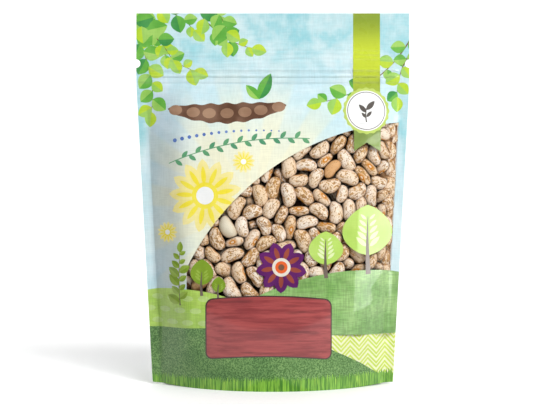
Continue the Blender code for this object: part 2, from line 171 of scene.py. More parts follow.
# The print, in millimetres. It runs to BLEED on both sides, past the pouch's edge.
BLEED = 92
BAND_STEP = 2.0
POINTS_PER_LOBE = 6
CORNER_STEPS = 5
ARCH_POINTS = 12
STEM_POINTS = 12
POD_POINTS = 61
GRASS_POINTS = 231
FRONT_SEED = 5
BACK_SEED = 8
LEAFLET_ANGLES = (0.75, 1.05)
LEAFLET_SIZES = (0.66, 1.2)
LEAF_TONES = [
    ("leaf_light", "leaf_lime"),
    ("leaf_mid", "leaf_light"),
    ("leaf_dark", "leaf_mid"),
    ("leaf_light", "leaf_mid"),
    ("leaf_lime", "leaf_light"),
]
OLIVE_TONES = [("sprig_olive", "sprig_olive_light")]
YELLOW_BLOSSOM = ("flower_pale", "flower_yellow", "flower_yellow", "white")
PURPLE_BLOSSOM = ("flower_purple", "flower_red", "flower_cream", "flower_orange")
OLIVE_SEEDLING = ("sprig_olive", "sprig_olive_light", "stem_grey")
LIME_SEEDLING = ("leaf_lime_pale", "leaf_cream", "stem_grey")

# Each seedling's x, foot, height, width, pairs of inner leaflets and tones.
SEEDLINGS = (
    (-45.7, 62, 22, 15, 3, OLIVE_SEEDLING),
    (-34.8, 59.5, 13.5, 9, 3, OLIVE_SEEDLING),
    (34.3, 73.5, 28.5, 22.5, 5, LIME_SEEDLING),
    (62, 75.5, 43.5, 34, 5, LIME_SEEDLING),
)

# Leafy twigs that hang in from the two top corners: start, end, sag and pairs of leaflets.
BOUGHS = (
    ((-92, 246), (-52, 207), -6, 6),
    ((-92, 232), (-80, 180), 5, 5),
    ((-93, 240), (-66, 214), 3, 4),
    ((-84, 249), (-52, 234), 4, 3),
    ((-50, 249), (-14, 222), -5, 4),
    ((-40, 249), (-30, 226), 3, 3),
    ((93, 232), (32, 186), 9, 6),
    ((93, 222), (82, 190), -3, 3),
)

# The zigzag field's outline, counterclockwise from its left tip.
ZIGZAG_FIELD = [
    (28, 30), (37.5, 26.2), (47, 21.6), (57, 16.3), (67, 9.5),
    (74, 5), (92, 3), (92, 33.9), (64, 34.4), (28, 35.8),
]

# Share of a printed colour that the film itself has: the studio light adds the rest.
INK_LEVEL = 0.78

# The print's materials. SATIN is the roughness of most of it.
SATIN = 0.36
GLOW_CENTRE = (-0.012, 0.118)
RAY_COUNT = 15.0
# Painted shade: the sky's colour is multiplied by this low on the left of the front, where the side fold
# turns from the light.
PAINTED_LEFT_SHADE = (0.80, 0.82, 0.86, 1)
DOT_ROW_STEP = 0.0078
DOT_COLUMN_STEP = 0.0105
ZIGZAG_HALF_WIDTH = 0.0060
ZIGZAG_SLOPE = 1.1
ZIGZAG_STEP = 0.0062

# The beans that show.
BEAN_SIDES = 20
BEAN_RINGS = 15
SHOWN_DEPTH = 0.0165
SHOWN_MARGIN = 0.006
LOOKS_SEED = 21
EDGE_SEED = 4
EDGE_BEAN_STEP = 0.0118
EDGE_BEAN_INSETS = (0.0034, 0.0008)
EDGE_BEANS_TOP = 0.178
EDGE_BEANS_BELOW_HILL = 0.004
EDGE_BEAN_JITTER = 0.0012
EDGE_BEAN_LEAN = 0.9
TAN_SPOTS = ((0.0384, 0.145), (0.066, 0.160), (-0.047, 0.071))
PALE_SPOT = (-0.0254, 0.102)
SPECKLED_BASES = ((234, 226, 216), (226, 209, 187), (223, 199, 169))
TAN_BASES = ((214, 177, 130), (206, 165, 116), (208, 163, 120))
PALE_BASES = ((216, 209, 190), (208, 200, 178), (216, 209, 190))
PLUMPNESS = np.array([1.02, 1.05, 1.12])
FORM_SPREAD = np.array([0.035, 0.045, 0.05])
TAPER_SPREAD = 0.05
LUMPINESS = 0.012
EYE_DENT_DEPTH = 0.00045
EYE_HALF_SIZE_MM = (2.0, 1.05)
EYES_FORWARD = 0.8
FLATTENED_SHARE = 0.6
FILM_GAP = 0.0005
SEAL_OVERLAP = 0.0003

# Painted shade on their skin: where a bean is sunk, where its skin turns away from the front, and where
# it touches other beans.
SUNK_DEPTH = 0.012
SUNK_SHADE = 1.2
SUNK_POWER = 1.3
EDGE_SHADE = 0.75
EDGE_RANGE = (0.25, 0.90)
CONTACT_SHADE = 0.5
CONTACT_REACH = 1.2

# The core behind them: a sheet in painted shade, standing for the beans further in.
CORE_OVERLAP = 0.004
CORE_SEAL_GAP = 0.0042
CORE_STEP = 0.003
CORE_GRID_STEP = 0.0025
CORE_THICKNESS = 0.0006

# The gusset.
GUSSET_RISE = 0.0030
GUSSET_THICKNESS = 0.0003
GUSSET_GRID = (73, 33)

# The studio: floor and wall, light and camera.
FLOOR_FRONT = -2.4
FLOOR_BACK = 1.1
FLOOR_HALF_WIDTH = 3.0
WALL_BEND_RADIUS = 0.6
WALL_BEND_STEPS = 8
WALL_HEIGHT = 2.6
CAMERA_DISTANCE = 0.9
CAMERA_RISE = math.radians(0.886)
CAMERA_TARGET = (0.0, 0.0, 0.122)
CAMERA_LENS = 90.75
CAMERA_SHIFT = (-0.0052, -0.0050)


def soft_step(value, low, high):
    share = np.clip((value - low) / (high - low), 0, 1)
    return share * share * (3 - 2 * share)


def between(z, rise, fall):
    """1 between two heights and 0 outside, with soft ends."""
    return soft_step(z, *rise) * (1 - soft_step(z, *fall))


def unit(vectors):
    """The same vectors, each made 1 long."""
    return vectors / np.linalg.norm(vectors, axis=-1, keepdims=True)


def half_width(z):
    """Half the flat width of the pouch at height z."""
    down = np.clip(1 - z / TAPER_HEIGHT, 0, 1)
    return HALF_WIDTH_TOP - (HALF_WIDTH_TOP - HALF_WIDTH_BASE) * down


def half_depth(z):
    """Half the depth of the filled body on its centre line at height z."""
    wedge = BASE_HALF_DEPTH - (BASE_HALF_DEPTH - NECK_HALF_DEPTH) * z / NECK_HEIGHT
    belly = BELLY_SWELL * np.sin(math.pi * np.clip(z / BELLY_HEIGHT, 0, 1)) ** 2
    shoulder = np.clip((z - SHOULDER_HEIGHT) / (FILL_HEIGHT - SHOULDER_HEIGHT), 0, 1)
    return (wedge + belly) * (1 - shoulder**2) ** SHOULDER_POWER


def section_power(z):
    """The section is a lens at the base, and squarer up the body."""
    rise = np.clip(z / BODY_SECTION_HEIGHT, 0, 1)
    return BASE_SECTION_POWER + (BODY_SECTION_POWER - BASE_SECTION_POWER) * rise**2 * (3 - 2 * rise)


def face_depth(x, z):
    """How far the front or back face stands from the plane of the seals."""
    inner = half_width(z) - SIDE_SEAL
    across = np.clip(np.abs(x) / inner, 0, 1)
    body = half_depth(z) * (1 - across ** section_power(z))
    ridge = 0.0
    for height in ZIPPER_RIDGES:
        off = np.clip(np.abs(z - height) / RIDGE_HALF_WIDTH, 0, 1)
        ridge = ridge + RIDGE_RISE * (1 - off**2) * (1 - soft_step(across, RIDGE_FADE, 1))
    return SHEET_THICKNESS / 2 + body + ridge


def face_slope(x, z, depth_of=face_depth, step=1e-5):
    """Slopes of the face along x and z."""
    along_x = (depth_of(x + step, z) - depth_of(x - step, z)) / (2 * step)
    along_z = (depth_of(x, z + step) - depth_of(x, z - step)) / (2 * step)
    return along_x, along_z


def side_folds(x, z):
    """The film stands out a little along both sides, before it turns down to the seals."""
    off = np.abs(x) / (half_width(z) - SIDE_SEAL) - FOLD_PLACE
    reach = np.where(off < 0, FOLD_REACH[0], FOLD_REACH[1])
    body = half_depth(z) * soft_step(z, 0.0, BODY_SECTION_HEIGHT)
    at_seal = math.exp(-(((1 - FOLD_PLACE) / FOLD_REACH[1]) ** 2))
    return FOLD_SHARE * body * (np.exp(-((off / reach) ** 2)) - at_seal)


def creases(x, z):
    """Shallow dents and ripples of the filled film, as a change of depth."""
    across = np.clip(np.abs(x) / (half_width(z) - SIDE_SEAL), 0, 1)
    inside = 1 - soft_step(across, 0.86, 0.99)
    dents = np.sin(61 * x + 23 * z + 0.4) * np.sin(47 * z - 19 * x + 1.1)
    dents = dents + 0.5 * np.sin(133 * x - 71 * z + 2.0) * np.sin(97 * z + 31 * x)
    pulls = np.sin(2 * math.pi * (z - 0.02 * across**2) / PULL_SPACING) * soft_step(across, 0.55, 0.93)
    return between(z, *BODY_CREASES) * inside * (DENT_DEPTH * dents + PULL_DEPTH * pulls)


def header_waves(x, z):
    """The flat header bends a little, which moves its front and back alike."""
    near = np.exp(-(((z - RIPPLE_HEIGHT - 0.0012 * np.sin(26 * x)) / RIPPLE_REACH) ** 2))
    ripple = np.sin(2 * math.pi * (z - 0.0009 * np.sin(41 * x + 0.6)) / RIPPLE_SPACING)
    uneven = 0.6 + 0.4 * np.sin(33 * x + 520 * z) * np.sin(57 * x - 340 * z + 0.8)
    waves = RIPPLE_DEPTH * near * ripple * uneven + HEADER_BEND * np.sin(21 * x + 0.7)
    overhang = OVERHANG * between(z, *OVERHANG_PLACE)
    fill_line = FILL_LINE_DEPTH * between(z, *FILL_LINE_PLACE)
    return between(z, *HEADER_WAVES) * waves - overhang - fill_line


def shown_depth(x, z):
    return face_depth(x, z) + creases(x, z) + np.maximum(side_folds(x, z), 0)


def base_height(x):
    """The bottom edge: flat on the floor, a little lifted at the corners."""
    out = np.clip(np.abs(x) / HALF_WIDTH_BASE - CORNER_LIFT_FROM, 0, 1)
    return CORNER_LIFT * (out / (1 - CORNER_LIFT_FROM)) ** 2


def hill_height(x):
    """The line of two hills that bounds the window from below."""
    left, right = (top - fall * (x - crest) ** 2 for crest, top, fall in (LEFT_HILL, RIGHT_HILL))
    return np.maximum(left, right)


def window_right(z, right_inset=WINDOW_RIGHT_INSET):
    return half_width(z) - right_inset


def pouch_outline():
    """The flat outline as (x, z) points, counterclockwise from the bottom left corner."""
    shares = np.linspace(-1, 1, 2 * round(HALF_WIDTH_BASE / OUTLINE_STEP) + 1)
    bottom = [(HALF_WIDTH_BASE * s, float(base_height(HALF_WIDTH_BASE * s))) for s in shares]
    corner_z = bottom[-1][1]
    low, high = NOTCH_HEIGHT - NOTCH_RADIUS, NOTCH_HEIGHT + NOTCH_RADIUS
    rise = np.linspace(corner_z, low, round((low - corner_z) / OUTLINE_STEP))[1:-1]
    right = [(float(half_width(z)), float(z)) for z in rise]
    turns = [math.pi * k / NOTCH_STEPS for k in range(NOTCH_STEPS + 1)]
    right += [
        (HALF_WIDTH_TOP - NOTCH_RADIUS * math.sin(a), NOTCH_HEIGHT - NOTCH_RADIUS * math.cos(a))
        for a in turns
    ]
    upper = np.linspace(high, POUCH_HEIGHT, round((POUCH_HEIGHT - high) / OUTLINE_STEP))[1:-1]
    right += [(HALF_WIDTH_TOP, float(z)) for z in upper]
    top = [(HALF_WIDTH_TOP * s, POUCH_HEIGHT) for s in shares[::-1]]
    left = [(-x, z) for x, z in reversed(right)]
    return bottom + right + top + left


def window_outline(inset=0.0, right_inset=WINDOW_RIGHT_INSET, step=OUTLINE_STEP):
    """The window's outline as (x, z) points, counterclockwise, moved in by inset."""
    radius = ARC_RADIUS - inset
    left = WINDOW_LEFT + inset
    corner_z = ARC_CENTRE_Z + radius
    for _ in range(20):
        corner_x = float(window_right(corner_z, right_inset)) - inset
        corner_z = ARC_CENTRE_Z + math.sqrt(radius**2 - (corner_x - ARC_CENTRE_X) ** 2)
    first = math.atan2(corner_z - ARC_CENTRE_Z, corner_x - ARC_CENTRE_X)
    last = math.pi - math.acos((ARC_CENTRE_X - left) / radius)
    arc = [
        (ARC_CENTRE_X + radius * math.cos(a), ARC_CENTRE_Z + radius * math.sin(a))
        for a in np.linspace(first, last, 1 + round(radius * (last - first) / step))
    ]
    low_z = float(hill_height(left)) + inset
    side = [(left, z) for z in np.linspace(arc[-1][1], low_z, 8)[1:]]
    right_x = float(window_right(RIGHT_HILL[1], right_inset)) - inset
    floor_x = np.linspace(left, right_x, 1 + round((right_x - left) / step))
    floor = [(float(x), float(hill_height(x)) + inset) for x in floor_x[1:]]
    right_z = np.linspace(floor[-1][1], corner_z, 1 + round((corner_z - floor[-1][1]) / step))
    right = [(float(window_right(z, right_inset)) - inset, float(z)) for z in right_z[1:-1]]
    return arc + side + floor + right


def in_window(x, z, grow, right_inset=WINDOW_RIGHT_INSET):
    """True where (x, z) lies in the window grown by that much on every side."""
    return (
        (np.hypot(x - ARC_CENTRE_X, z - ARC_CENTRE_Z) < ARC_RADIUS + grow)
        & (x > WINDOW_LEFT - grow)
        & (x < window_right(z, right_inset) + grow)
        & (z > hill_height(x) - grow)
    )


def grid_points():
    """Points over the whole face, in columns that follow its taper, closer where the face bends."""
    turns = np.linspace(-math.pi / 2, math.pi / 2, GRID_COLUMNS)
    shares = GRID_BUNCHING * np.sin(turns) + (1 - GRID_BUNCHING) * turns / (math.pi / 2)
    shares = list(shares * GRID_REACH) + [-1.0, 1.0]
    points = []
    for z in np.concatenate([np.arange(*row) for row in GRID_ROWS]):
        inner = float(half_width(z)) - SIDE_SEAL
        points += [(inner * s, float(z)) for s in shares if z > base_height(inner * s) + GRID_ABOVE_BASE]
        if z > SEAL_POINTS_ABOVE:
            points += [(side * (inner + SIDE_SEAL / 2), float(z)) for side in (-1, 1)]
    return points


# Flat shapes of the print, in millimetres over the face: x to the right, z up.


def placed(loop, x, z, turn):
    """A loop drawn about the origin, turned and moved to (x, z)."""
    cosine, sine = math.cos(turn), math.sin(turn)
    return [(x + u * cosine - v * sine, z + u * sine + v * cosine) for u, v in loop]


def ellipse(x, z, across, tall, turn=0.0, count=24):
    turns = [2 * math.pi * k / count for k in range(count)]
    return placed([(across * math.cos(a), tall * math.sin(a)) for a in turns], x, z, turn)


def wavy_circle(x, z, radius, lobes, depth):
    count = lobes * POINTS_PER_LOBE
    turns = [2 * math.pi * k / count for k in range(count)]
    reach = [radius * (1 + depth * math.cos(lobes * a)) for a in turns]
    return [(x + r * math.cos(a), z + r * math.sin(a)) for r, a in zip(reach, turns)]


def petal(x, z, length, width, turn, blunt=0.8, half=False, count=9):
    """A pointed petal or leaflet from (x, z), or the left half of one."""
    steps = [k / count for k in range(1, count)]
    wide = [width / 2 * math.sin(math.pi * s**0.9) ** blunt for s in steps]
    left = [(length * s, w) for s, w in zip(steps, wide)]
    right = [(length * s, 0.0 if half else -w) for s, w in zip(steps, wide)]
    return placed([(0.0, 0.0)] + left + [(length, 0)] + right[::-1], x, z, turn)


def left_of(line):
    """Unit vectors to the left of a line of points."""
    along = unit(np.gradient(line, axis=0))
    return np.stack([-along[:, 1], along[:, 0]], axis=1)


def strip(points, start_width, end_width):
    """A tapering strip along these points."""
    points = np.array(points, float)
    aside = left_of(points) * np.linspace(start_width, end_width, len(points))[:, None] / 2
    return [(float(x), float(z)) for x, z in np.concatenate([points + aside, (points - aside)[::-1]])]


def bent_line(start, end, sag, count):
    """Points from start to end, bowed sideways by sag."""
    start, end = np.array(start, float), np.array(end, float)
    line = end - start
    aside = np.array([-line[1], line[0]]) / np.linalg.norm(line)
    return [tuple(start + line * s + aside * sag * 4 * s * (1 - s)) for s in np.linspace(0, 1, count)]


def band(left, right, low_of, high_of):
    """The field between two lines, each a function of x."""
    xs = np.linspace(left, right, 1 + round((right - left) / BAND_STEP))
    low = [(float(x), float(low_of(x))) for x in xs]
    high = [(float(x), float(high_of(x))) for x in xs[::-1]]
    return low + high


def rounded_box(left, right, low, high, radius, arch=0.0):
    """A box with round corners, whose top and bottom may bow up by arch."""
    flat = np.linspace(left + radius, right - radius, ARCH_POINTS)[1:-1]
    loop = []
    for x, z, start in ((right, low, -90), (right, high, 0), (left, high, 90), (left, low, 180)):
        centre_x = x + (radius if x == left else -radius)
        centre_z = z + (radius if z == low else -radius)
        for k in range(CORNER_STEPS + 1):
            a = math.radians(start + 90 * k / CORNER_STEPS)
            loop.append((centre_x + radius * math.cos(a), centre_z + radius * math.sin(a)))
        if start == 0:
            loop += [(s, high) for s in flat[::-1]]
        if start == 180:
            loop += [(s, low) for s in flat]
    middle, half = (left + right) / 2, (right - left) / 2
    return [(x, z + arch * (1 - ((x - middle) / half) ** 2)) for x, z in loop]


def leaflet(x, z, length, width, turn, tones):
    """A leaflet in two tones, parted at its midrib."""
    return [
        (tones[0], petal(x, z, length, width, turn)),
        (tones[1], petal(x, z, length, width, turn, half=True)),
    ]


def sprig(start, end, sag, pairs, length, width, rng, stem="stem_brown", tones=LEAF_TONES):
    """A stem with leaflets on alternate sides and one at its tip."""
    line = bent_line(start, end, sag, 4 * pairs + 1)
    shapes = [(stem, strip(line, 0.9, 0.35))]
    for k in range(1, 2 * pairs + 1):
        near, far = np.array(line[2 * k - 1]), np.array(line[2 * k])
        side = 1 if k % 2 else -1
        turn = math.atan2(*(far - near)[::-1]) + side * rng.uniform(*LEAFLET_ANGLES)
        size = rng.uniform(*LEAFLET_SIZES) * (1 - 0.25 * k / (2 * pairs))
        tone_pair = tones[rng.integers(len(tones))]
        shapes += leaflet(*near, length * size, width * size, turn, tone_pair)
    near, far = np.array(line[-2]), np.array(line[-1])
    heading = math.atan2(*(far - near)[::-1])
    return shapes + leaflet(*far, 0.8 * length, 0.75 * width, heading, tones[0])


def blossom(x, z, radius, petals, tones, turn):
    """A flower head seen from above: petals, a ring and a centre."""
    outer, inner, ring, heart = tones
    turns = [turn + 2 * math.pi * k / petals for k in range(petals)]
    shapes = [(outer, petal(x, z, radius, 5.2 * radius / petals, a, 0.55)) for a in turns]
    for a in turns:
        start = (x + 0.3 * radius * math.cos(a), z + 0.3 * radius * math.sin(a))
        shapes.append((inner, petal(*start, 0.5 * radius, 1.7 * radius / petals, a, 0.6)))
    shapes.append((ring, ellipse(x, z, 0.36 * radius, 0.36 * radius)))
    shapes.append((heart, ellipse(x, z, 0.24 * radius, 0.24 * radius)))
    return shapes


def seedling(x, low, tall, wide, veins, tones):
    """A stem with one broad upright leaf, which has paler leaflets inside it."""
    field_tone, pale, stem = tones
    base = low + 0.38 * tall
    upright = math.pi / 2
    shapes = [(field_tone, petal(x, base - 0.14 * tall, 0.76 * tall, wide, upright, 0.7, count=16))]
    for k in range(veins):
        z = base + 0.10 * tall * k
        size = 0.17 * tall * (1 - 0.11 * k)
        for side in (-1, 1):
            turn = upright - side * 0.85
            shapes.append((pale, petal(x + side * 1.1, z, size * 1.25, size * 0.42, turn)))
    stem_line = bent_line((x, low - 1.5), (x, base + 0.10 * tall * (veins - 0.5)), 0.5, STEM_POINTS)
    return shapes + [(stem, strip(stem_line, 0.075 * wide + 1.0, 0.35))]


def pod(x, z, length, width, turn, seeds):
    """A bowed seed pod with round seeds along it."""
    start, end = placed([(-length / 2, 0), (length / 2, 0)], x, z, turn)
    line = np.array(bent_line(start, end, -0.055 * length, POD_POINTS))
    share = np.linspace(0, 1, POD_POINTS)
    bulge = 0.05 * width * np.cos(2 * math.pi * seeds * share) * np.sin(math.pi * share)
    wide = (width / 2 * np.sin(math.pi * share) ** 0.55 - bulge)[:, None]
    aside = left_of(line) * wide
    loop = list((line + aside)[:-1]) + list((line - aside)[:0:-1])
    shapes = [("pod_dark", [(float(a), float(b)) for a, b in loop])]
    for k in range(seeds):
        spot = line[round((POD_POINTS - 1) * (k + 0.5) / seeds)]
        shapes.append(("pod_light", ellipse(*spot, 0.34 * width, 0.26 * width, turn, 16)))
    return shapes


def hill_line(x):
    return hill_height(x * MM) / MM


def grass_edge(low, high, seed):
    """A jagged strip of blades along the base."""
    rng = np.random.default_rng(seed)
    xs = np.linspace(-BLEED, BLEED, GRASS_POINTS)
    tips = [rng.uniform(0.55, 1.0) if k % 2 else rng.uniform(0.0, 0.35) for k in range(len(xs))]
    swell = 0.5 + 0.5 * np.cos((xs - 78) / 50)
    edge = [(float(x), low + (high - low) * t + 2.2 * s) for x, t, s in zip(xs, tips, swell)]
    return [(-BLEED, -4.0), (BLEED, -4.0)] + edge[::-1]


def front_print():
    """The front's fields and shapes, from the bottom one up. None is the clear window."""
    rng = np.random.default_rng(FRONT_SEED)
    shapes = [
        ("ground_dark", band(-BLEED, BLEED, lambda x: -3, lambda x: 46 + 1.5 * math.sin(x / 30))),
        ("hill_dotted", band(-BLEED, -8, lambda x: 38.2 + 0.04 * (x + 84), hill_line)),
        ("hill_linen", band(-18, BLEED, lambda x: 33.0, hill_line)),
        ("zigzag", ZIGZAG_FIELD),
    ]
    for x, z, radius, turn in ((-44, 125, 24, 0.2), (-69, 101, 7, 0.5), (-19, 147, 7.5, 0.1)):
        shapes += blossom(x, z, radius, 13, YELLOW_BLOSSOM, turn)
    shapes.append((None, [(x / MM, z / MM) for x, z in window_outline()]))
    shapes += sprig((-60, 54), (-60.5, 88), 0.6, 6, 9.0, 5.4, rng, "stem_grey", OLIVE_TONES)
    for growing in SEEDLINGS:
        shapes += seedling(*growing)
    shapes += blossom(5.5, 79, 16.5, 9, PURPLE_BLOSSOM, 0.5)
    shapes += [
        ("stem_brown", ellipse(5.5, 79, 2.0, 2.0)),
        ("panel_edge", rounded_box(-43.4, 37.9, 19.4, 58.6, 4.5, 2.5)),
        ("panel_red", rounded_box(-42.6, 37.1, 20.2, 57.8, 4.0, 2.5)),
        ("grass", grass_edge(4.5, 9.0, 3)),
    ]
    for start, end, sag, pairs in BOUGHS:
        shapes += sprig(start, end, sag, pairs, 12.8, 10.6, rng)
    return shapes + pod_and_garland() + ribbon_and_rosette()


def pod_and_garland():
    """A seed pod with two leaflets, and under it a row of beads and a garland."""
    shapes = pod(-30, 183, 78, 13, 0.03, 7)
    shapes += leaflet(-9, 188, 19, 8.5, 1.15, ("leaf_dark", "leaf_mid"))
    shapes += leaflet(-9, 188, 13, 6.5, 2.3, ("leaf_mid", "leaf_light"))
    for k, (x, z) in enumerate(bent_line((-64, 161), (4, 167), 2.5, 15)):
        size = 1.35 - 0.06 * k
        shapes.append(("bead_blue", ellipse(x, z, size, size, 0, 12)))
    garland = bent_line((-68, 146), (24, 162), 5.5, 21)
    for k, (x, z) in enumerate(garland[1:-1]):
        turn = 0.15 + (0.75 if k % 2 else -0.75)
        shapes.append(("garland", petal(x, z, 5.8, 2.8, turn)))
    shapes.append(("garland", strip(garland, 0.6, 0.6)))
    return shapes


def ribbon_and_rosette():
    """A ribbon from the top edge, with a round badge and two tails. The badge holds a plain sprout."""
    left, right, tail_top, tail_low, tail_notch = 52.9, 70.7, 172, 153.9, 159.5
    middle, height = 61.3, 180.5
    tail_ends = [(left, tail_low), (middle, tail_notch), (right, tail_low)]
    shapes = [
        ("ribbon_tail", [(left, tail_top)] + tail_ends + [(right, tail_top)]),
        ("ribbon", [(left, 180), (right, 180), (right, 247), (left, 247)]),
        ("badge_rim", wavy_circle(middle, height, 15.2, 20, 0.025)),
    ]
    for name, radius in (("white", 13.4), ("badge_ring", 12.6), ("white", 12.15)):
        shapes.append((name, ellipse(middle, height, radius, radius, 0, 60)))
    stem = bent_line((middle, height - 7.5), (middle, height + 1.5), 0.5, STEM_POINTS)
    shapes.append(("badge_ring", strip(stem, 0.9, 0.6)))
    for side, rise, size in ((1, 0.5, 8.2), (-1, -1.2, 7.2), (1, -4.2, 5.2), (-1, -4.8, 4.8)):
        turn = math.pi / 2 - side * 0.75
        shapes.append(("badge_ring", petal(middle, height + rise, size, 0.42 * size, turn)))
    return shapes


def back_print():
    """The back: the same fields, and a plain cream panel."""
    rng = np.random.default_rng(BACK_SEED)
    shapes = [
        ("hill_dotted", band(-BLEED, BLEED, lambda x: 30, lambda x: 60 + 5 * math.sin(x / 24))),
        ("hill_linen", band(-30, BLEED, lambda x: 30, lambda x: 36 + 30 * math.sin((x + 30) / 90))),
        ("ground_dark", band(-BLEED, BLEED, lambda x: -3, lambda x: 40 + 3 * math.sin(x / 26))),
        ("grass", grass_edge(6.0, 13.5, 4)),
        ("panel_green", rounded_box(-56, 56, 74, 178, 5)),
        ("panel_cream", rounded_box(-54, 54, 76, 176, 4)),
        ("panel_green", rounded_box(-48, 48, 84, 84.8, 0.3)),
        ("panel_green", rounded_box(-48, 48, 166, 166.8, 0.3)),
    ]
    shapes += sprig((86, 246), (30, 208), 7, 6, 19, 9.5, rng)
    shapes += sprig((-91, 240), (-40, 205), 6, 6, 18, 9, rng)
    return shapes


def counterclockwise(loop):
    area = sum(a[0] * b[1] - b[0] * a[1] for a, b in zip(loop, loop[1:] + loop[:1]))
    return loop if area > 0 else loop[::-1]


def triangulated(points, loops):
    """Triangles among points and loops: spots, corners, and the loops that hold each triangle."""
    points = [Vector(p) for p in points]
    faces = []
    for loop in loops:
        faces.append(list(range(len(points), len(points) + len(loop))))
        points += [Vector(p) for p in loop]
    made = delaunay_2d_cdt(points, [], faces, 0, 1e-7, True)
    return np.array([tuple(p) for p in made[0]]), made[2], made[5]


def cut_print(shapes):
    """Triangles over the whole face: spots, corners, and the number of each one's top shape."""
    loops = [pouch_outline()]
    loops += [[(x * MM, z * MM) for x, z in loop] for _, loop in shapes]
    spots, corners, holders = triangulated(grid_points(), map(counterclockwise, loops))
    kept = [(face, max(owners)) for face, owners in zip(corners, holders) if 0 in owners]
    return spots, np.array([face for face, _ in kept]), np.array([top for _, top in kept]) - 1


def border_edges(corners):
    """Directed edges that only one triangle has, with that triangle's number."""
    edges = np.concatenate([corners[:, [0, 1]], corners[:, [1, 2]], corners[:, [2, 0]]])
    owner = np.tile(np.arange(len(corners)), 3)
    size = corners.max() + 1
    forward, backward = edges[:, 0] * size + edges[:, 1], edges[:, 1] * size + edges[:, 0]
    single = ~np.isin(forward, backward)
    return edges[single], owner[single]


def thin_solid(name, spots, corners, owner, side, thickness, depth_of, bend_of, materials):
    """A closed sheet. side is -1 for the front and 1 for the back. Its last material is its inside."""
    used, corners = np.unique(corners, return_inverse=True)
    corners = corners.reshape(-1, 3)
    x, z = spots[used].T
    outer_y = side * depth_of(x, z) + bend_of(x, z)
    outer = np.stack([x, outer_y, z], axis=1)
    inner = np.stack([x, outer_y - side * thickness, z], axis=1)
    slope_x, slope_z = face_slope(x, z, lambda a, b: depth_of(a, b) + side * bend_of(a, b), 4e-5)
    normals = unit(np.stack([-slope_x, np.full_like(x, side), -slope_z], axis=1))
    edges, edge_owner = border_edges(corners)
    count = len(used)
    walls = np.stack([edges[:, 1], edges[:, 0], edges[:, 0] + count, edges[:, 1] + count], axis=1)
    turned = corners if side < 0 else corners[:, ::-1]
    walls = walls if side < 0 else walls[:, ::-1]
    faces = turned.tolist() + (turned[:, ::-1] + count).tolist() + walls.tolist()
    mesh = new_mesh(name, np.concatenate([outer, inner]).tolist(), faces, materials)
    inside = np.full(len(corners), len(materials) - 1)
    mesh.polygons.foreach_set("material_index", np.concatenate([owner, inside, owner[edge_owner]]))
    mesh.normals_split_custom_set_from_vertices(np.concatenate([normals, -normals]).tolist())
    return add_piece(name, mesh)


def new_mesh(name, points, faces, materials):
    mesh = bpy.data.meshes.new(name)
    mesh.from_pydata(points, [], faces)
    for material in materials:
        mesh.materials.append(material)
    return mesh


def add_piece(name, mesh):
    piece = bpy.data.objects.new(name, mesh)
    bpy.context.scene.collection.objects.link(piece)
    return piece


def no_bend(x, z):
    return np.zeros_like(x)


# Materials. Colours are written as the eye sees them, 0 to 255, and made linear.


def tone(red, green, blue):
    shares = [c / 255 for c in (red, green, blue)]
    return tuple(c / 12.92 if c <= 0.04045 else ((c + 0.055) / 1.055) ** 2.4 for c in shares) + (1.0,)


def ink(red, green, blue):
    """A printed colour, as it looks in the studio's light, which is brighter than 1."""
    return tuple(INK_LEVEL * c for c in tone(red, green, blue)[:3]) + (1.0,)


class Value:
    """The output of a shader's node. Arithmetic with it adds a node."""

    def __init__(self, shader, socket):
        self.shader = shader
        self.socket = socket

    def __add__(self, other):
        return self.shader.math("ADD", self, other)

    def __sub__(self, other):
        return self.shader.math("SUBTRACT", self, other)

    def __mul__(self, other):
        return self.shader.math("MULTIPLY", self, other)

    def __truediv__(self, other):
        return self.shader.math("DIVIDE", self, other)

    def step(self, low, high, out_low=0.0, out_high=1.0):
        """A soft step, as this value goes from low to high."""
        made = self.shader.node("ShaderNodeMapRange", {"interpolation_type": "SMOOTHSTEP"})
        return self.shader.filled(made, (self, low, high, out_low, out_high))


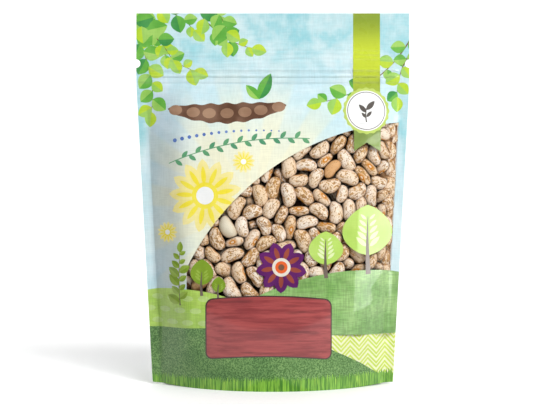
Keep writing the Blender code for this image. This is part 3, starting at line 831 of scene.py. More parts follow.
class Shader:
    """One material and short ways to add nodes to it."""

    def __init__(self, name):
        self.material = bpy.data.materials.new(name)
        self.material.use_nodes = True
        self.tree = self.material.node_tree
        self.surface = self.tree.nodes["Principled BSDF"]
        self.place = Value(self, self.node("ShaderNodeTexCoord").outputs["Object"])

    def node(self, kind, settings=None, **inputs):
        made = self.tree.nodes.new(kind)
        for key, value in (settings or {}).items():
            setattr(made, key, value)
        for key, value in inputs.items():
            self.put(made.inputs[key.replace("_", " ")], value)
        return made

    def put(self, socket, value):
        if isinstance(value, Value):
            self.tree.links.new(value.socket, socket)
        else:
            socket.default_value = value

    def filled(self, made, values):
        """The first output of a node, with its inputs filled in order."""
        for socket, value in zip(made.inputs, values):
            self.put(socket, value)
        return Value(self, made.outputs[0])

    def math(self, operation, *values):
        return self.filled(self.node("ShaderNodeMath", {"operation": operation}), values)

    def vector_math(self, operation, *values):
        return self.filled(self.node("ShaderNodeVectorMath", {"operation": operation}), values)

    def length(self, u, v):
        return self.math("SQRT", u * u + v * v)

    def noise(self, scale, detail=2.0, place=None, stretch=(1, 1, 1), distortion=0.0, roughness=0.5):
        where = self.vector_math("MULTIPLY", place or self.place, [scale * s for s in stretch])
        made = self.node(
            "ShaderNodeTexNoise", Vector=where, Scale=1.0, Detail=detail,
            Roughness=roughness, Distortion=distortion,
        )
        return Value(self, made.outputs[0])

    def mix(self, share, first, second, blend="MIX"):
        made = self.node("ShaderNodeMix", {"data_type": "RGBA", "blend_type": blend}, Factor=share)
        self.put(made.inputs[6], first)
        self.put(made.inputs[7], second)
        return Value(self, made.outputs[2])

    def split(self, vector=None):
        made = self.node("ShaderNodeSeparateXYZ", Vector=vector or self.place)
        return [Value(self, output) for output in made.outputs]

    def attribute(self, name):
        made = self.node("ShaderNodeAttribute", {"attribute_name": name})
        return Value(self, made.outputs["Vector"])

    def bump(self, height, distance, strength, **under):
        made = self.node("ShaderNodeBump", Height=height, Distance=distance, Strength=strength, **under)
        return Value(self, made.outputs["Normal"])

    def finish(self, **inputs):
        for key, value in inputs.items():
            self.put(self.surface.inputs[key.replace("_", " ")], value)
        return self.material


def printed(shader, colour, weave, roughness=SATIN):
    """Finishes a print material: satin film with a faint weave and a slight unevenness."""
    film = shader.bump(shader.noise(95, 2.0), 0.0010, 0.35)
    gloss = shader.noise(60, 2.0).step(0.3, 0.7, roughness - 0.06, roughness + 0.08)
    return shader.finish(
        Base_Color=colour, Roughness=gloss, Normal=shader.bump(weave, 0.00006, 0.5, Normal=film),
        IOR=1.36, Coat_Weight=0.5, Coat_Roughness=0.07,
    )


def woven(shader, colour, strength, roughness=SATIN):
    """Finishes a print material on a woven ground: fine threads both ways."""
    warp = shader.noise(1.0, 1.0, stretch=(1500, 300, 110))
    weft = shader.noise(1.0, 1.0, stretch=(110, 300, 1500))
    weave = warp * 0.5 + weft * 0.5
    grey = weave.step(0.36, 0.64, 1 - strength, 1 + 0.55 * strength)
    return printed(shader, shader.mix(1.0, colour, grey, "MULTIPLY"), weave, roughness)


def field(name, low, high, weave=0.03):
    """A printed field of colour that wanders between two tones, on a woven ground."""
    shader = Shader(name)
    share = shader.noise(70.0, 3.0).step(0.34, 0.66)
    return woven(shader, shader.mix(share, ink(*low), ink(*high)), weave)


def sky_material():
    """Watercolour sky: aqua patches, paler down the body, with a cream glow and soft rays, and painted
    shade low on the left of the front.
    """
    shader = Shader("sky")
    x, y, z = shader.split()
    on_front = y.step(0.0, -0.001)
    large = shader.noise(26, 4.0, roughness=0.62, distortion=0.3)
    small = shader.noise(120, 3.0, roughness=0.6)
    patches = (large + (small - 0.5) * 0.35).step(0.30, 0.68)
    upper = shader.mix(patches, ink(152, 212, 221), ink(214, 236, 239))
    lower = shader.mix(patches, ink(196, 229, 238), ink(223, 242, 247))
    outer = shader.math("MAXIMUM", shader.math("ABSOLUTE", x) - 0.076, 0.0)
    colour = shader.mix((z + outer * 6.5).step(0.226, 0.196), upper, lower)
    off_x, off_z = x - GLOW_CENTRE[0], z - GLOW_CENTRE[1]
    reach = shader.length(off_x, off_z)
    turn = shader.math("ARCTAN2", off_z, off_x)
    soft_ray = shader.math("SINE", turn * RAY_COUNT).step(-0.35, 0.35)
    rays = reach.step(0.105, 0.045) * soft_ray * on_front
    glow = reach.step(0.085, 0.030) * on_front
    colour = shader.mix(rays * 0.42, colour, ink(250, 240, 190))
    colour = shader.mix(glow * 0.85, colour, ink(249, 246, 214))
    # Painted shade: the sky is greyer low on the left of the front, where the side fold turns from the
    # light.
    painted_shade_low_left = x.step(-0.046, -0.068) * x.step(-0.0815, -0.0800) * (z.step(0.212, 0.180) * on_front)
    colour = shader.mix(painted_shade_low_left, colour, PAINTED_LEFT_SHADE, "MULTIPLY")
    return woven(shader, colour, 0.055)


def dotted_material():
    """Yellow-green linen with rows of small pale ovals."""
    shader = Shader("hill_dotted")
    x, _, z = shader.split()
    row = z / DOT_ROW_STEP
    shift = shader.math("MODULO", shader.math("FLOOR", row), 2.0) * 0.5
    u = shader.math("FRACT", (x + 1.0) / DOT_COLUMN_STEP + shift) - 0.5
    v = shader.math("FRACT", row) - 0.5
    dot = (u * (u * 9.0) + v * (v * 22.0)).step(1.25, 1.05)
    share = shader.noise(60, 3.0).step(0.35, 0.65)
    colour = shader.mix(share, ink(166, 205, 84), ink(184, 216, 104))
    return woven(shader, shader.mix(dot * 0.55, colour, ink(196, 220, 150)), 0.12)


def zigzag_material():
    """Chartreuse with pale zigzag lines."""
    shader = Shader("zigzag")
    x, _, z = shader.split()
    fold = shader.math("PINGPONG", x + 1.0, ZIGZAG_HALF_WIDTH)
    stripe = shader.math("FRACT", (z - fold * ZIGZAG_SLOPE + 1.0) / ZIGZAG_STEP)
    line = shader.math("ABSOLUTE", stripe - 0.5)
    pale = shader.math("MINIMUM", line.step(0.10, 0.06) + line.step(0.33, 0.37), 1.0)
    share = shader.noise(80, 2.0).step(0.35, 0.65)
    colour = shader.mix(share, ink(199, 221, 74), ink(212, 228, 98))
    return woven(shader, shader.mix(pale, colour, ink(240, 243, 200)), 0.04)


def speckled_ground_material():
    """Dark green with a fine pale fleck."""
    shader = Shader("ground_dark")
    fleck = shader.noise(1150, 2.0, roughness=0.7)
    wide = shader.noise(38, 2.0).step(0.35, 0.65)
    dark = shader.mix(wide, ink(54, 102, 40), ink(70, 116, 50))
    pale = shader.mix(wide, ink(106, 154, 78), ink(130, 172, 98))
    return printed(shader, shader.mix(fleck.step(0.42, 0.62), dark, pale), fleck)


def grass_material():
    """Blades: upright streaks from dark green to bright lime."""
    shader = Shader("grass")
    blades = shader.noise(1.0, 3.0, stretch=(900, 200, 55), roughness=0.65)
    colour = shader.mix(blades.step(0.34, 0.66), ink(66, 126, 36), ink(142, 200, 70))
    bright = shader.noise(1.0, 2.0, stretch=(1400, 300, 80)).step(0.58, 0.70)
    return printed(shader, shader.mix(bright * 0.7, colour, ink(184, 226, 84)), blades)


def panel_material():
    """Brick red with long brush strokes."""
    shader = Shader("panel_red")
    strokes = shader.noise(1.0, 4.0, stretch=(28, 200, 420), roughness=0.65)
    colour = shader.mix(strokes.step(0.32, 0.68), ink(142, 60, 62), ink(180, 84, 82))
    dark = shader.noise(1.0, 3.0, stretch=(22, 90, 190), roughness=0.6).step(0.58, 0.70)
    return printed(shader, shader.mix(dark * 0.6, colour, ink(104, 50, 52)), strokes)


def ribbon_material():
    """Lime ribbon, darker at its top end, and darker just above the badge, where painted shade stands
    for the shade under the header's overhang.
    """
    shader = Shader("ribbon")
    z = shader.split()[2]
    colour = shader.mix(z.step(0.243, 0.218), ink(143, 165, 56), ink(203, 219, 60))
    # Painted shade: the ribbon's lower part, just above the badge, under the header's overhang.
    colour = shader.mix(z.step(0.212, 0.192), colour, ink(162, 182, 68))
    return woven(shader, colour, 0.03, 0.3)


def film_material():
    """Clear film: see-through, with a glossy skin."""
    shader = Shader("clear_film")
    nodes, links = shader.tree.nodes, shader.tree.links
    nodes.remove(shader.surface)
    uneven = shader.bump(shader.noise(70, 2.0), 0.0016, 0.4)
    clear = shader.node("ShaderNodeBsdfTransparent", Color=(0.985, 0.985, 0.98, 1))
    gloss = shader.node("ShaderNodeBsdfGlossy", Roughness=0.07, Normal=uneven)
    edge = shader.node("ShaderNodeFresnel", IOR=1.13, Normal=uneven)
    both = shader.node("ShaderNodeMixShader")
    shader.put(both.inputs[0], shader.math("MINIMUM", Value(shader, edge.outputs[0]), 0.3))
    links.new(clear.outputs[0], both.inputs[1])
    links.new(gloss.outputs[0], both.inputs[2])
    links.new(both.outputs[0], nodes["Material Output"].inputs["Surface"])
    return shader.material


# Plain fields of the print: two tones, and the strength of the weave where it isn't faint.
PLAIN_FIELDS = {
    "hill_linen": ((118, 166, 86), (154, 194, 120), 0.24),
    "panel_edge": ((84, 58, 58), (66, 50, 50)),
    "panel_green": ((96, 140, 78), (112, 156, 92), 0.06),
    "panel_cream": ((244, 240, 222), (250, 247, 234)),
    "flower_pale": ((250, 236, 150), (252, 241, 172)),
    "flower_yellow": ((249, 230, 62), (252, 238, 92)),
    "flower_purple": ((86, 26, 92), (104, 36, 108), 0.04),
    "flower_red": ((146, 66, 56), (160, 78, 60), 0.04),
    "flower_orange": ((226, 92, 40), (234, 108, 50)),
    "flower_cream": ((226, 219, 204), (236, 230, 216)),
    "white": ((246, 248, 248), (252, 253, 252), 0.015),
    "leaf_light": ((150, 202, 92), (170, 214, 110), 0.05),
    "leaf_lime": ((178, 214, 52), (196, 222, 70), 0.05),
    "leaf_mid": ((96, 172, 66), (118, 188, 80), 0.05),
    "leaf_dark": ((62, 144, 72), (80, 158, 84), 0.05),
    "leaf_lime_pale": ((178, 214, 96), (190, 222, 112)),
    "leaf_cream": ((222, 236, 176), (230, 241, 192)),
    "sprig_olive": ((126, 158, 44), (140, 170, 54), 0.05),
    "sprig_olive_light": ((148, 178, 66), (160, 188, 78), 0.05),
    "stem_brown": ((112, 78, 60), (128, 92, 70)),
    "stem_grey": ((104, 92, 84), (120, 106, 96)),
    "pod_dark": ((96, 66, 50), (132, 100, 82)),
    "pod_light": ((150, 116, 92), (176, 142, 116)),
    "garland": ((80, 150, 112), (104, 168, 120)),
    "bead_blue": ((84, 116, 186), (110, 140, 204)),
    "badge_rim": ((186, 208, 100), (198, 217, 114)),
    "badge_ring": ((84, 78, 74), (96, 90, 84), 0.02),
    "ribbon_tail": ((120, 142, 68), (142, 164, 88), 0.04),
    "inside": ((232, 236, 238), (240, 243, 244)),
}


def print_materials():
    made = {name: field(name, *tones) for name, tones in PLAIN_FIELDS.items()}
    made["sky"] = sky_material()
    made["hill_dotted"] = dotted_material()
    made["zigzag"] = zigzag_material()
    made["ground_dark"] = speckled_ground_material()
    made["grass"] = grass_material()
    made["panel_red"] = panel_material()
    made["ribbon"] = ribbon_material()
    return made


def with_mottling(shader, colour, place, darker, amount):
    """Golden-brown blots and flecks over a bean's pale skin."""
    low = shader.math("SUBTRACT", 0.575, darker * 0.11)
    blots = shader.noise(0.60, 3.0, place, (0.6, 1.0, 1.0), 1.2, 0.5).step(low, low + 0.06)
    flecks = shader.noise(1.1, 1.0, place, (0.7, 1.0, 1.0)).step(0.60, 0.66)
    mottle = shader.math("MAXIMUM", blots, flecks * 0.8)
    share = shader.noise(0.8, 1.0, place).step(0.35, 0.65)
    brown = shader.mix(share, tone(130, 86, 26), tone(180, 132, 58))
    return shader.mix(mottle * amount, colour, brown)


def with_eye(shader, colour, local):
    """An orange-ringed eye on a bean's inner side."""
    x, y, z = shader.split(local)
    reach = shader.length(x / EYE_HALF_SIZE_MM[0], z / EYE_HALF_SIZE_MM[1])
    inner_side = y.step(-1.5, -2.6)
    halo = reach.step(2.3, 1.1) * inner_side
    ring = reach.step(1.25, 1.0) * inner_side
    eye = reach.step(0.66, 0.50) * inner_side
    colour = shader.mix(halo * 0.7, colour, tone(206, 146, 66))
    colour = shader.mix(ring * 0.95, colour, tone(196, 122, 24))
    return shader.mix(eye, colour, tone(222, 209, 186))


def bean_material(name, bases, mottling):
    """A bean's skin, drawn in millimetres about its own centre, with painted shade where it is sunk,
    turns away from the front or touches another bean.
    """
    shader = Shader(name)
    local = shader.attribute("bean_place")
    place = shader.vector_math("ADD", local, shader.attribute("bean_seed"))
    # The attribute's third value, called sunk here, is painted shade from depth, turning away from the
    # front and contact with other beans.
    darker, pinker, sunk = shader.split(shader.attribute("bean_tone_and_shade"))
    first, second, pink = (tone(*base) for base in bases)
    patch = shader.noise(0.16, 2.0, place).step(0.35, 0.65)
    colour = shader.mix(pinker, shader.mix(patch, first, second), pink)
    colour = with_mottling(shader, colour, place, darker, mottling)
    colour = with_eye(shader, colour, local)
    # Painted shade: the skin turns orange-brown, then near black, as the shade value grows.
    painted_shade_tone = shader.mix(sunk.step(0.25, 0.75), tone(170, 102, 26), tone(22, 11, 3))
    colour = shader.mix(sunk * 0.95, colour, painted_shade_tone)
    fine = shader.noise(1.6, 3.0, place, (0.5, 1, 1))
    gloss = fine.step(0.3, 0.7, 0.34, 0.48)
    normal = shader.bump(fine, 0.00012, 0.5)
    return shader.finish(Base_Color=colour, Roughness=gloss, Normal=normal, IOR=1.26)


def core_material():
    """The inside of the heap in painted shade: near black brown, and paler brown where it meets the
    right seal, as beans in shade there.
    """
    shader = Shader("bean_core")
    share = shader.noise(160, 3.0).step(0.4, 0.65)
    painted_shade_dark = shader.mix(share, tone(20, 10, 5), tone(60, 34, 16))
    pale = shader.mix(share, tone(96, 62, 36), tone(186, 146, 106))
    # Painted shade: the sheet stands for beans in shade, paler at the right seal.
    colour = shader.mix(shader.split()[0].step(0.070, 0.076), painted_shade_dark, pale)
    normal = shader.bump(shader.noise(300), 0.002, 0.6)
    return shader.finish(Base_Color=colour, Roughness=0.8, Normal=normal)


def stage_material():
    shader = Shader("stage")
    colour = shader.mix(shader.noise(3.0), (0.90, 0.90, 0.90, 1), (0.93, 0.93, 0.93, 1))
    white = (1, 1, 1, 1)
    return shader.finish(Base_Color=colour, Roughness=0.7, Emission_Color=white, Emission_Strength=0.08)


# The heap of beans.


def turn_matrices(vectors):
    """Rotation matrices, one for each rotation vector."""
    angle = np.linalg.norm(vectors, axis=1)
    axis = vectors / np.maximum(angle, 1e-12)[:, None]
    x, y, z = axis.T
    zero = np.zeros_like(x)
    cross = np.stack([zero, -z, y, z, zero, -x, -y, x, zero], axis=1).reshape(-1, 3, 3)
    sine, cosine = np.sin(angle)[:, None, None], np.cos(angle)[:, None, None]
    return np.eye(3) + sine * cross + (1 - cosine) * (cross @ cross)


def squared_up(frames):
    """The same frames with their axes made square to each other again."""
    long_axis = unit(frames[:, :, 0])
    wide = unit(frames[:, :, 1] - (frames[:, :, 1] * long_axis).sum(1)[:, None] * long_axis)
    return np.stack([long_axis, wide, np.cross(long_axis, wide)], axis=2)


def start_heap(rng):
    """Loose beans in layers behind the window: centres, frames of three axes, and sizes."""
    places, turns = [], []
    low_z = HILLS_MEET - HEAP_MARGIN
    high_z = ARC_CENTRE_Z + ARC_RADIUS + HEAP_MARGIN
    for layer in range(HEAP_LAYERS):
        for row, z in enumerate(np.arange(low_z, high_z, HEAP_SPACING * math.sqrt(0.75))):
            start = WINDOW_LEFT - HEAP_MARGIN + (row % 2) * HEAP_SPACING / 2
            for x in np.arange(start, HALF_WIDTH_TOP, HEAP_SPACING):
                at = np.array([x, z]) + rng.uniform(-HEAP_JITTER, HEAP_JITTER, 2) * HEAP_SPACING
                turn = rng.uniform(-math.pi, math.pi)
                tip = rng.normal(0, TIP_SPREAD)
                roll = rng.normal(0, ROLL_SPREAD) + math.pi / 2 * (rng.random() < ON_EDGE_SHARE)
                if in_window(at[0], at[1], HEAP_MARGIN, SIDE_SEAL + HEAP_MARGIN + BEAN_THICKNESS / 2):
                    places.append((at[0], at[1], layer))
                    turns.append((turn, tip, roll))
    x, z, layer = np.array(places).T
    room = face_depth(x, z)
    depth = FIRST_LAYER_DEPTH + LAYER_DEPTH * layer
    centres = np.stack([x, np.minimum(depth - room, START_DEPTH_LIMIT * room), z], axis=1)
    turn, tip, roll = np.array(turns).T
    spun = turn_matrices(np.outer(turn, [0, 1.0, 0]))
    tipped = turn_matrices(np.outer(tip, [0, 0, 1.0]))
    rolled = turn_matrices(np.outer(roll, [1.0, 0, 0]))
    broad_side_out = turn_matrices(np.array([[math.pi / 2, 0, 0]]))
    sizes = 1 + BEAN_SPREAD * np.clip(rng.normal(0, 1, len(x)), -2, 2)
    return centres, spun @ tipped @ rolled @ broad_side_out, sizes


def ball_offsets():
    """Centres of the six balls that stand in for one bean."""
    end = (BEAN_LENGTH - BEAN_THICKNESS) / 2
    side = (BEAN_WIDTH - BEAN_THICKNESS) / 2
    sides = [(x, y, 0) for x in (-BALL_SPREAD, BALL_SPREAD) for y in (-side, side)]
    return np.array([(-end, 0, 0), (end, 0, 0)] + sides)


def push_beans_apart(centres, arms, radii, pairs):
    """Each bean's push away from its neighbours, its turning effect, and the number of touches."""
    first, second = pairs
    balls = centres[:, None] + arms
    line = balls[first][:, :, None] - balls[second][:, None]
    length = np.sqrt((line**2).sum(3)) + 1e-9
    over = np.clip((radii[first] + radii[second])[:, None, None] - length, 0, None)
    push = 0.5 * over[..., None] * line / length[..., None]
    count = len(centres)
    shift, twist = np.zeros((count, 3)), np.zeros((count, 3))
    for owner, force in ((first, push.sum(2)), (second, -push.sum(1))):
        turning = np.cross(arms[owner], force)
        for axis in range(3):
            shift[:, axis] += np.bincount(owner, force[:, :, axis].sum(1), count)
            twist[:, axis] += np.bincount(owner, turning[:, :, axis].sum(1), count)
    touching = (over > 0).sum((1, 2))
    return shift, twist, np.bincount(first, touching, count) + np.bincount(second, touching, count)


def push_beans_in(centres, arms, radii, face, wall, firmness):
    """The same for one face of the pouch: -1 is the front film, 1 the back."""
    balls = centres[:, None] + arms
    slope_x, slope_z = face_slope(balls[..., 0], balls[..., 2])
    inward = np.stack([slope_x, np.full_like(slope_x, -face), slope_z], axis=2)
    inward = inward / np.sqrt((inward**2).sum(2))[..., None]
    room = face_depth(balls[..., 0], balls[..., 2])
    from_face = (room - face * balls[..., 1]) * np.abs(inward[..., 1])
    over = firmness * np.clip(radii[:, None] + wall - from_face, 0, BEAN_THICKNESS / 4)
    force = over[..., None] * inward
    return force.sum(1), np.cross(arms, force).sum(1), (over > 0).sum(1)


def pack_heap():
    """Settles the beans against the film and each other, in small steps: centres, frames and sizes."""
    centres, frames, sizes = start_heap(np.random.default_rng(HEAP_SEED))
    local = ball_offsets()[None] * sizes[:, None, None]
    radii = BEAN_THICKNESS / 2 * sizes
    for step in range(PACKING_STEPS):
        if step % NEIGHBOUR_UPDATE == 0:
            apart = np.linalg.norm(centres[:, None] - centres[None], axis=2)
            pairs = np.nonzero(np.triu(apart < NEIGHBOUR_REACH * BEAN_LENGTH, 1))
        arms = np.einsum("nij,nkj->nki", frames, local)
        pushes = [
            push_beans_apart(centres, arms, radii, pairs),
            push_beans_in(centres, arms, radii, -1, HEAP_WALL, 1.0),
            push_beans_in(centres, arms, radii, 1, BACK_GAP, BACK_FIRMNESS),
        ]
        shift, twist, touches = (sum(parts) for parts in zip(*pushes))
        touches = np.maximum(touches, 1)[:, None]
        drift = SETTLING * max(0.0, 1 - SETTLING_FADE * step / PACKING_STEPS)
        centres = centres + PUSH_RATE * shift / touches**0.75 - drift * SETTLING_WAY
        turn = TURN_RATE * twist / (BEAN_LENGTH / 2) ** 2 / touches**0.6
        frames = squared_up(turn_matrices(np.clip(turn, -TURN_LIMIT, TURN_LIMIT)) @ frames)
        centres, frames = np.round(centres, 8), np.round(frames, 6)
    return centres, squared_up(frames), sizes


def bean_form():
    """A smooth bean about its own centre, in shares of its half sizes: points and faces."""
    points = [(-1.0, 0.0, 0.0)]
    for k in range(1, BEAN_RINGS + 1):
        polar = math.pi * k / (BEAN_RINGS + 1)
        girth = math.sin(polar) ** 0.74
        for s in range(BEAN_SIDES):
            a = 2 * math.pi * s / BEAN_SIDES
            points.append((-math.cos(polar), girth * math.cos(a), girth * math.sin(a)))
    points.append((1.0, 0.0, 0.0))
    last = len(points) - 1
    faces = []
    for s in range(BEAN_SIDES):
        t = (s + 1) % BEAN_SIDES
        faces.append((0, 1 + t, 1 + s))
        for k in range(BEAN_RINGS - 1):
            low = 1 + k * BEAN_SIDES
            faces.append((low + s, low + t, low + BEAN_SIDES + t))
            faces.append((low + s, low + BEAN_SIDES + t, low + BEAN_SIDES + s))
        low = 1 + (BEAN_RINGS - 1) * BEAN_SIDES
        faces.append((low + s, low + t, last))
    return np.array(points), np.array(faces)


def shaped_beans(sizes, rng):
    """The points of each bean in its own axes, in metres, each a little different."""
    points, faces = bean_form()
    count = len(sizes)
    half = BEAN_SIZE / 2 * PLUMPNESS
    stretch = 1 + FORM_SPREAD * rng.normal(0, 1, (count, 3)).clip(-2, 2)
    x, y, z = points.T
    bend = BEAN_BEND * rng.uniform(0.5, 1.5, (count, 1)) * (0.5 - x * x)
    taper = 1 + rng.normal(0, TAPER_SPREAD, (count, 1)) * x
    dent = EYE_DENT_DEPTH * np.exp(-((x / 0.33) ** 2) - (z / 0.6) ** 2) * (y < 0)
    lumps = 1 + LUMPINESS * np.sin(3.1 * x + 2.3 * y + rng.uniform(0, 6, (count, 1)))
    local = np.stack([
        np.broadcast_to(x * half[0], (count, len(x))),
        y * half[1] * taper * lumps + bend + dent,
        z * half[2] * taper * lumps,
    ], axis=2)
    return local * stretch[:, None] * sizes[:, None, None], faces


def turned_away(frames):
    """How far each bean's skin faces away from the front, from 0 to 1."""
    points, _ = bean_form()
    normals = unit(points / BEAN_SIZE)
    facing = -np.einsum("nj,kj->nk", frames[:, 1], normals)
    return 1 - np.clip(facing, 0, 1)


def clamped(spots):
    """Keeps the beans between the two faces and within the window's right edge."""
    x, y, z = spots[..., 0], spots[..., 1], spots[..., 2]
    inner = half_width(z) - WINDOW_RIGHT_INSET + SEAL_OVERLAP
    x = np.clip(x, -inner, inner)
    room = np.maximum(shown_depth(x, z) - FILM_GAP, 0.0001)
    return np.stack([x, np.clip(y, -room, room), z], axis=-1)


def point_normals(mesh):
    normals = np.empty(3 * len(mesh.vertices), dtype=np.float32)
    mesh.vertex_normals.foreach_get("vector", normals)
    return normals.reshape(-1, 3)


def joined_beans(name, loose, spots, local, faces, looks, seeds, material):
    """One mesh of all these beans, with what their skin needs in attributes.

    A bean that the film flattens keeps the shading of its loose, round form.
    """
    count, size = spots.shape[:2]
    all_faces = (faces[None] + size * np.arange(count)[:, None, None]).reshape(-1, 3)
    mesh = new_mesh(name, loose.reshape(-1, 3).tolist(), all_faces.tolist(), [material])
    round_normals = point_normals(mesh)
    mesh.vertices.foreach_set("co", spots.astype(np.float32).ravel())
    mesh.update()
    normals = round_normals + FLATTENED_SHARE * point_normals(mesh)
    for attribute, values in (
        ("bean_place", local * 1000),
        ("bean_tone_and_shade", looks),
        ("bean_seed", np.broadcast_to(seeds[:, None], spots.shape)),
    ):
        made = mesh.attributes.new(attribute, "FLOAT_VECTOR", "POINT")
        made.data.foreach_set("vector", np.ascontiguousarray(values, dtype=np.float32).ravel())
    mesh.shade_smooth()
    normals = normals / np.maximum(np.linalg.norm(normals, axis=1), 1e-6)[:, None]
    mesh.normals_split_custom_set_from_vertices(normals.tolist())
    return add_piece(name, mesh)


def edge_beans(rng):
    """Two columns of beans squeezed against the right seal, where the window's edge would show a gap."""
    rises = np.arange(RIGHT_HILL[1] - EDGE_BEANS_BELOW_HILL, EDGE_BEANS_TOP, EDGE_BEAN_STEP)
    z = np.concatenate([rises, rises + EDGE_BEAN_STEP / 2])
    z = z + rng.uniform(-EDGE_BEAN_JITTER, EDGE_BEAN_JITTER, len(z))
    inset = np.repeat(EDGE_BEAN_INSETS, len(rises))
    x = half_width(z) - SIDE_SEAL - inset
    slope_x, _ = face_slope(x, z)
    outward = unit(np.stack([-0.4 * slope_x, -np.ones_like(x), np.zeros_like(x)], axis=1))
    lean = rng.uniform(-EDGE_BEAN_LEAN, EDGE_BEAN_LEAN, len(z))[:, None]
    aside = np.cross(outward, [0, 0, 1.0])
    long_axis = np.cos(lean) * np.array([[0, 0, 1.0]]) + np.sin(lean) * aside
    frames = np.stack([long_axis, np.cross(outward, long_axis), outward], axis=2)
    surface = np.stack([x, -face_depth(x, z), z], axis=1)
    centres = surface - outward * (BEAN_THICKNESS / 2 + HEAP_WALL)
    return centres, squared_up(frames), rng.uniform(0.9, 1.05, len(z))


def eyes_forward(frames, rng):
    """Most beans turned about their long axis, where needed, so that their eye shows."""
    hidden = (frames[:, 1, 1] < 0) & (rng.random(len(frames)) < EYES_FORWARD)
    return frames * np.where(hidden[:, None], [1, -1, -1], [1, 1, 1])[:, None]


def contact(loose, centres, frames, sizes):
    """How close each point of a bean's skin lies to another bean, from 0 to 1."""
    half = BEAN_SIZE / 2 * PLUMPNESS
    near = np.zeros(loose.shape[:2])
    for centre, frame, size in zip(centres, frames, sizes):
        away = np.linalg.norm(centres - centre, axis=1)
        others = np.nonzero((away > 0) & (away < 1.2 * BEAN_LENGTH))[0]
        shares = (loose[others] - centre) @ frame / (half * size)
        reach = np.linalg.norm(shares, axis=2)
        near[others] = np.maximum(near[others], soft_step(reach, CONTACT_REACH, 1.0))
    return near


def nearest_in_front(centres, depth, spot):
    """The number of the bean against the film that lies nearest to a spot (x, z)."""
    away = np.hypot(centres[:, 0] - spot[0], centres[:, 2] - spot[1])
    return (away + (depth > 0.006)).argmin()


def make_beans():
    """The beans that the window shows, in three kinds."""
    heap = pack_heap()
    edge = edge_beans(np.random.default_rng(EDGE_SEED))
    centres, frames, sizes = (np.concatenate(parts) for parts in zip(heap, edge))
    depth = centres[:, 1] + face_depth(centres[:, 0], centres[:, 2])
    shown = (depth < SHOWN_DEPTH) & in_window(centres[:, 0], centres[:, 2], SHOWN_MARGIN)
    centres, frames, sizes, depth = centres[shown], frames[shown], sizes[shown], depth[shown]
    rng = np.random.default_rng(LOOKS_SEED)
    frames = eyes_forward(frames, rng)
    local, faces = shaped_beans(sizes, rng)
    loose = np.einsum("nij,nkj->nki", frames, local) + centres[:, None]
    spots = clamped(loose)
    # Painted shade on each point of the skin: from its depth behind the film, from turning away from the
    # front, and from touching another bean.
    sunk = np.clip((spots[..., 1] + face_depth(spots[..., 0], spots[..., 2])) / SUNK_DEPTH, 0, 1)
    edge = soft_step(turned_away(frames), *EDGE_RANGE)
    touching = contact(loose, centres, frames, sizes)
    count = len(sizes)
    darker = np.broadcast_to(rng.uniform(0, 1, (count, 1)), sunk.shape)
    pinker = np.broadcast_to(rng.uniform(0, 1, (count, 1)) ** 1.5, sunk.shape)
    painted_shade = SUNK_SHADE * sunk**SUNK_POWER + EDGE_SHADE * edge + CONTACT_SHADE * touching
    looks = np.stack([darker, pinker, np.clip(painted_shade, 0, 1)], axis=2)
    seeds = rng.uniform(-400, 400, (count, 3))
    pale, tan = np.zeros(count, bool), np.zeros(count, bool)
    pale[nearest_in_front(centres, depth, PALE_SPOT)] = True
    for spot in TAN_SPOTS:
        tan[nearest_in_front(centres, depth, spot)] = True
    made = []
    for name, which, skin, bases, mottling in (
        ("beans_speckled", ~tan & ~pale, "bean_speckled", SPECKLED_BASES, 0.86),
        ("beans_tan", tan, "bean_tan", TAN_BASES, 0.36),
        ("bean_pale", pale, "bean_pale", PALE_BASES, 0.04),
    ):
        material = bean_material(skin, bases, mottling)
        chosen = [values[which] for values in (loose, spots, local)]
        made.append(joined_beans(name, *chosen, faces, looks[which], seeds[which], material))
    return made


def core_depth(x, z):
    """How far the core stands from the plane of the seals: the pocket's floor, with lumps."""
    depth = face_depth(x, z)
    lumps = 0.0008 * np.sin(640 * x + 150 * z) * np.sin(590 * z - 120 * x)
    pocket = POCKET_DEPTH * np.tanh(depth / POCKET_DEPTH)
    return depth - 0.94 * pocket + lumps * np.tanh(depth / 0.01)


def make_core():
    """The inside of the heap, behind the beans that show: a sheet in painted shade."""
    seal = SIDE_SEAL + CORE_SEAL_GAP
    outline = window_outline(-CORE_OVERLAP, seal, CORE_STEP)
    loose = [
        (x, z)
        for x in np.arange(-0.062, 0.090, CORE_GRID_STEP)
        for z in np.arange(0.052, 0.180, CORE_GRID_STEP)
        if in_window(x, z, 0.0028, seal)
    ]
    spots, corners, holders = triangulated(loose, [outline])
    corners = np.array([face for face, owners in zip(corners, holders) if owners])
    owner = np.zeros(len(corners), int)
    looks = [core_material()] * 2
    return thin_solid("bean_core", spots, corners, owner, -1, CORE_THICKNESS, core_depth, no_bend, looks)


def make_face(name, shapes, side, materials, clear=None):
    """One face of the pouch from its print. Clear parts become a piece of their own."""
    spots, corners, owner = cut_print(shapes)
    names = ["sky"] + [shape[0] for shape in shapes]
    used = sorted({n for n in names if n}) + ["inside"]
    slots = np.array([used.index(n) if n else -1 for n in names])[owner + 1]
    palette = [materials[n] for n in used]
    solid = slots >= 0
    forms = (shown_depth, header_waves)
    pieces = [
        thin_solid(name, spots, corners[solid], slots[solid], side, PRINT_THICKNESS, *forms, palette)]
    if clear is not None:
        see_through = corners[~solid]
        blank = np.zeros(len(see_through), int)
        both = [clear, clear]
        pieces.append(
            thin_solid("clear_window", spots, see_through, blank, side, FILM_THICKNESS, *forms, both))
    return pieces


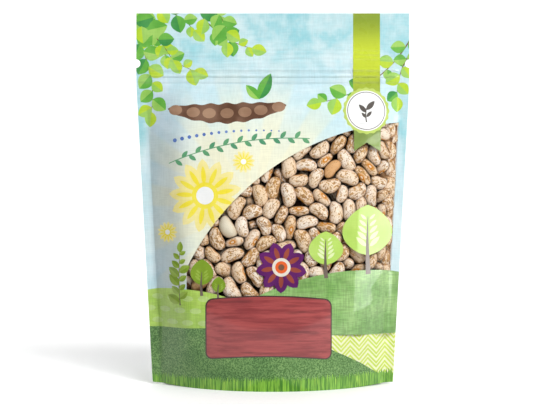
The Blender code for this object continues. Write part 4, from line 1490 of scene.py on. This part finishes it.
def make_base(material):
    """The gusset: a sheet set up between the lower edges of the front and back."""
    reach = HALF_WIDTH_BASE - SIDE_SEAL - 0.001
    across = np.linspace(-1, 1, GUSSET_GRID[1])
    rows = []
    for x in np.linspace(-reach, reach, GUSSET_GRID[0]):
        wide = float(face_depth(x, base_height(x))) - PRINT_THICKNESS - 0.0001
        low = float(base_height(x)) + 0.0004
        rise = GUSSET_RISE * (1 - (x / reach) ** 6)
        rows.append([(x, wide * t, low + rise * (1 - abs(t) ** 5) ** 0.5) for t in across])
    under = np.array(rows)
    points = np.concatenate([under, under + np.array([0, 0, GUSSET_THICKNESS])]).reshape(-1, 3)
    numbers = np.arange(len(points) // 2).reshape(GUSSET_GRID)
    a, b = numbers[:-1, :-1].ravel(), numbers[1:, :-1].ravel()
    c, d = numbers[1:, 1:].ravel(), numbers[:-1, 1:].ravel()
    lower = np.stack([a, d, c, b], axis=1)
    rim = np.concatenate([numbers[:-1, 0], numbers[-1, :-1], numbers[:0:-1, -1], numbers[0, :0:-1]])
    following = np.roll(rim, -1)
    count = numbers.size
    walls = np.stack([rim, following, following + count, rim + count], axis=1)
    faces = lower.tolist() + (lower[:, ::-1] + count).tolist() + walls.tolist()
    mesh = new_mesh("pouch_base", points.tolist(), faces, [material])
    mesh.shade_smooth()
    mesh.set_sharp_from_angle(angle=math.radians(40))
    return add_piece("pouch_base", mesh)


def make_stage():
    """A white floor that turns up into a wall behind the pouch."""
    profile = [(FLOOR_FRONT, 0.0), (FLOOR_BACK, 0.0)]
    for k in range(1, WALL_BEND_STEPS + 1):
        a = math.pi / 2 * k / WALL_BEND_STEPS
        rise = WALL_BEND_RADIUS * (1 - math.cos(a))
        profile.append((FLOOR_BACK + WALL_BEND_RADIUS * math.sin(a), rise))
    profile.append((FLOOR_BACK + WALL_BEND_RADIUS, WALL_HEIGHT))
    points = [(x, y, z) for y, z in profile for x in (-FLOOR_HALF_WIDTH, FLOOR_HALF_WIDTH)]
    faces = [(2 * k, 2 * k + 1, 2 * k + 3, 2 * k + 2) for k in range(len(profile) - 1)]
    mesh = new_mesh("studio_floor", points, faces, [stage_material()])
    mesh.shade_smooth()
    floor = add_piece("studio_floor", mesh)


def aimed(obj, target):
    obj.rotation_mode = "QUATERNION"
    obj.rotation_quaternion = (Vector(target) - obj.location).to_track_quat("-Z", "Y")


def add_light(name, place, target, size, watts, shows_in=None):
    """A soft light that no gloss shows, or with shows_in one that shows only in that piece's gloss."""
    data = bpy.data.lights.new(name, "AREA")
    data.shape = "RECTANGLE"
    data.size, data.size_y = size
    data.energy = watts
    lamp = bpy.data.objects.new(name, data)
    lamp.location = place
    lamp.visible_diffuse = shows_in is None
    lamp.visible_glossy = shows_in is not None
    lamp.visible_camera = False
    if shows_in is not None:
        glossy = bpy.data.collections.new(name)
        glossy.objects.link(shows_in)
        lamp.light_linking.receiver_collection = glossy
    bpy.context.scene.collection.objects.link(lamp)
    aimed(lamp, target)


def make_lights(front):
    """Soft light, mostly from the right. Only the streak card shows in the gloss of the print."""
    middle = (0, 0, 0.12)
    add_light("key", (0.74, -0.98, 1.15), middle, (0.6, 0.6), 18)
    add_light("key_front", (0.42, -1.05, 1.25), middle, (0.6, 0.6), 10.5)
    add_light("fill", (0.21, -1.49, 0.67), middle, (0.6, 0.6), 2)
    add_light("overhead", (0.0, 0.15, 1.6), (0, 0.1, 0), (1.4, 1.0), 5)
    add_light("wall_wash", (0.0, 0.6, 1.5), (0, 1.7, 0.3), (2.0, 0.4), 20)
    add_light("streak_card", (0.304, -0.121, 0.11), (0.064, -0.011, 0.105), (0.34, 0.17), 1.1, front)
    world = bpy.data.worlds.new("studio")
    world.use_nodes = True
    background = world.node_tree.nodes["Background"]
    background.inputs["Color"].default_value = (1, 1, 1, 1)
    background.inputs["Strength"].default_value = 0.06
    bpy.context.scene.world = world


def make_camera():
    data = bpy.data.cameras.new("camera")
    data.lens = CAMERA_LENS
    data.sensor_width = 36.0
    data.shift_x, data.shift_y = CAMERA_SHIFT
    camera = bpy.data.objects.new("camera", data)
    camera.location = (
        CAMERA_TARGET[0],
        CAMERA_TARGET[1] - CAMERA_DISTANCE * math.cos(CAMERA_RISE),
        CAMERA_TARGET[2] + CAMERA_DISTANCE * math.sin(CAMERA_RISE),
    )
    bpy.context.scene.collection.objects.link(camera)
    aimed(camera, CAMERA_TARGET)
    bpy.context.scene.camera = camera


def main():
    materials = print_materials()
    front, film = make_face("pouch_front", front_print(), -1, materials, film_material())
    (back,) = make_face("pouch_back", back_print(), 1, materials)
    base = make_base(materials["hill_linen"])
    for piece in (front, back, base):
        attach(piece, "root")
        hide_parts("pouch")
    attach(film, "root")
    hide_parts("window_film")
    for piece in make_beans() + [make_core()]:
        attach(piece, "root")
        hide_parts("beans")
    make_stage()
    make_lights(front)
    make_camera()
    bpy.context.scene.view_settings.view_transform = "Standard"


main()
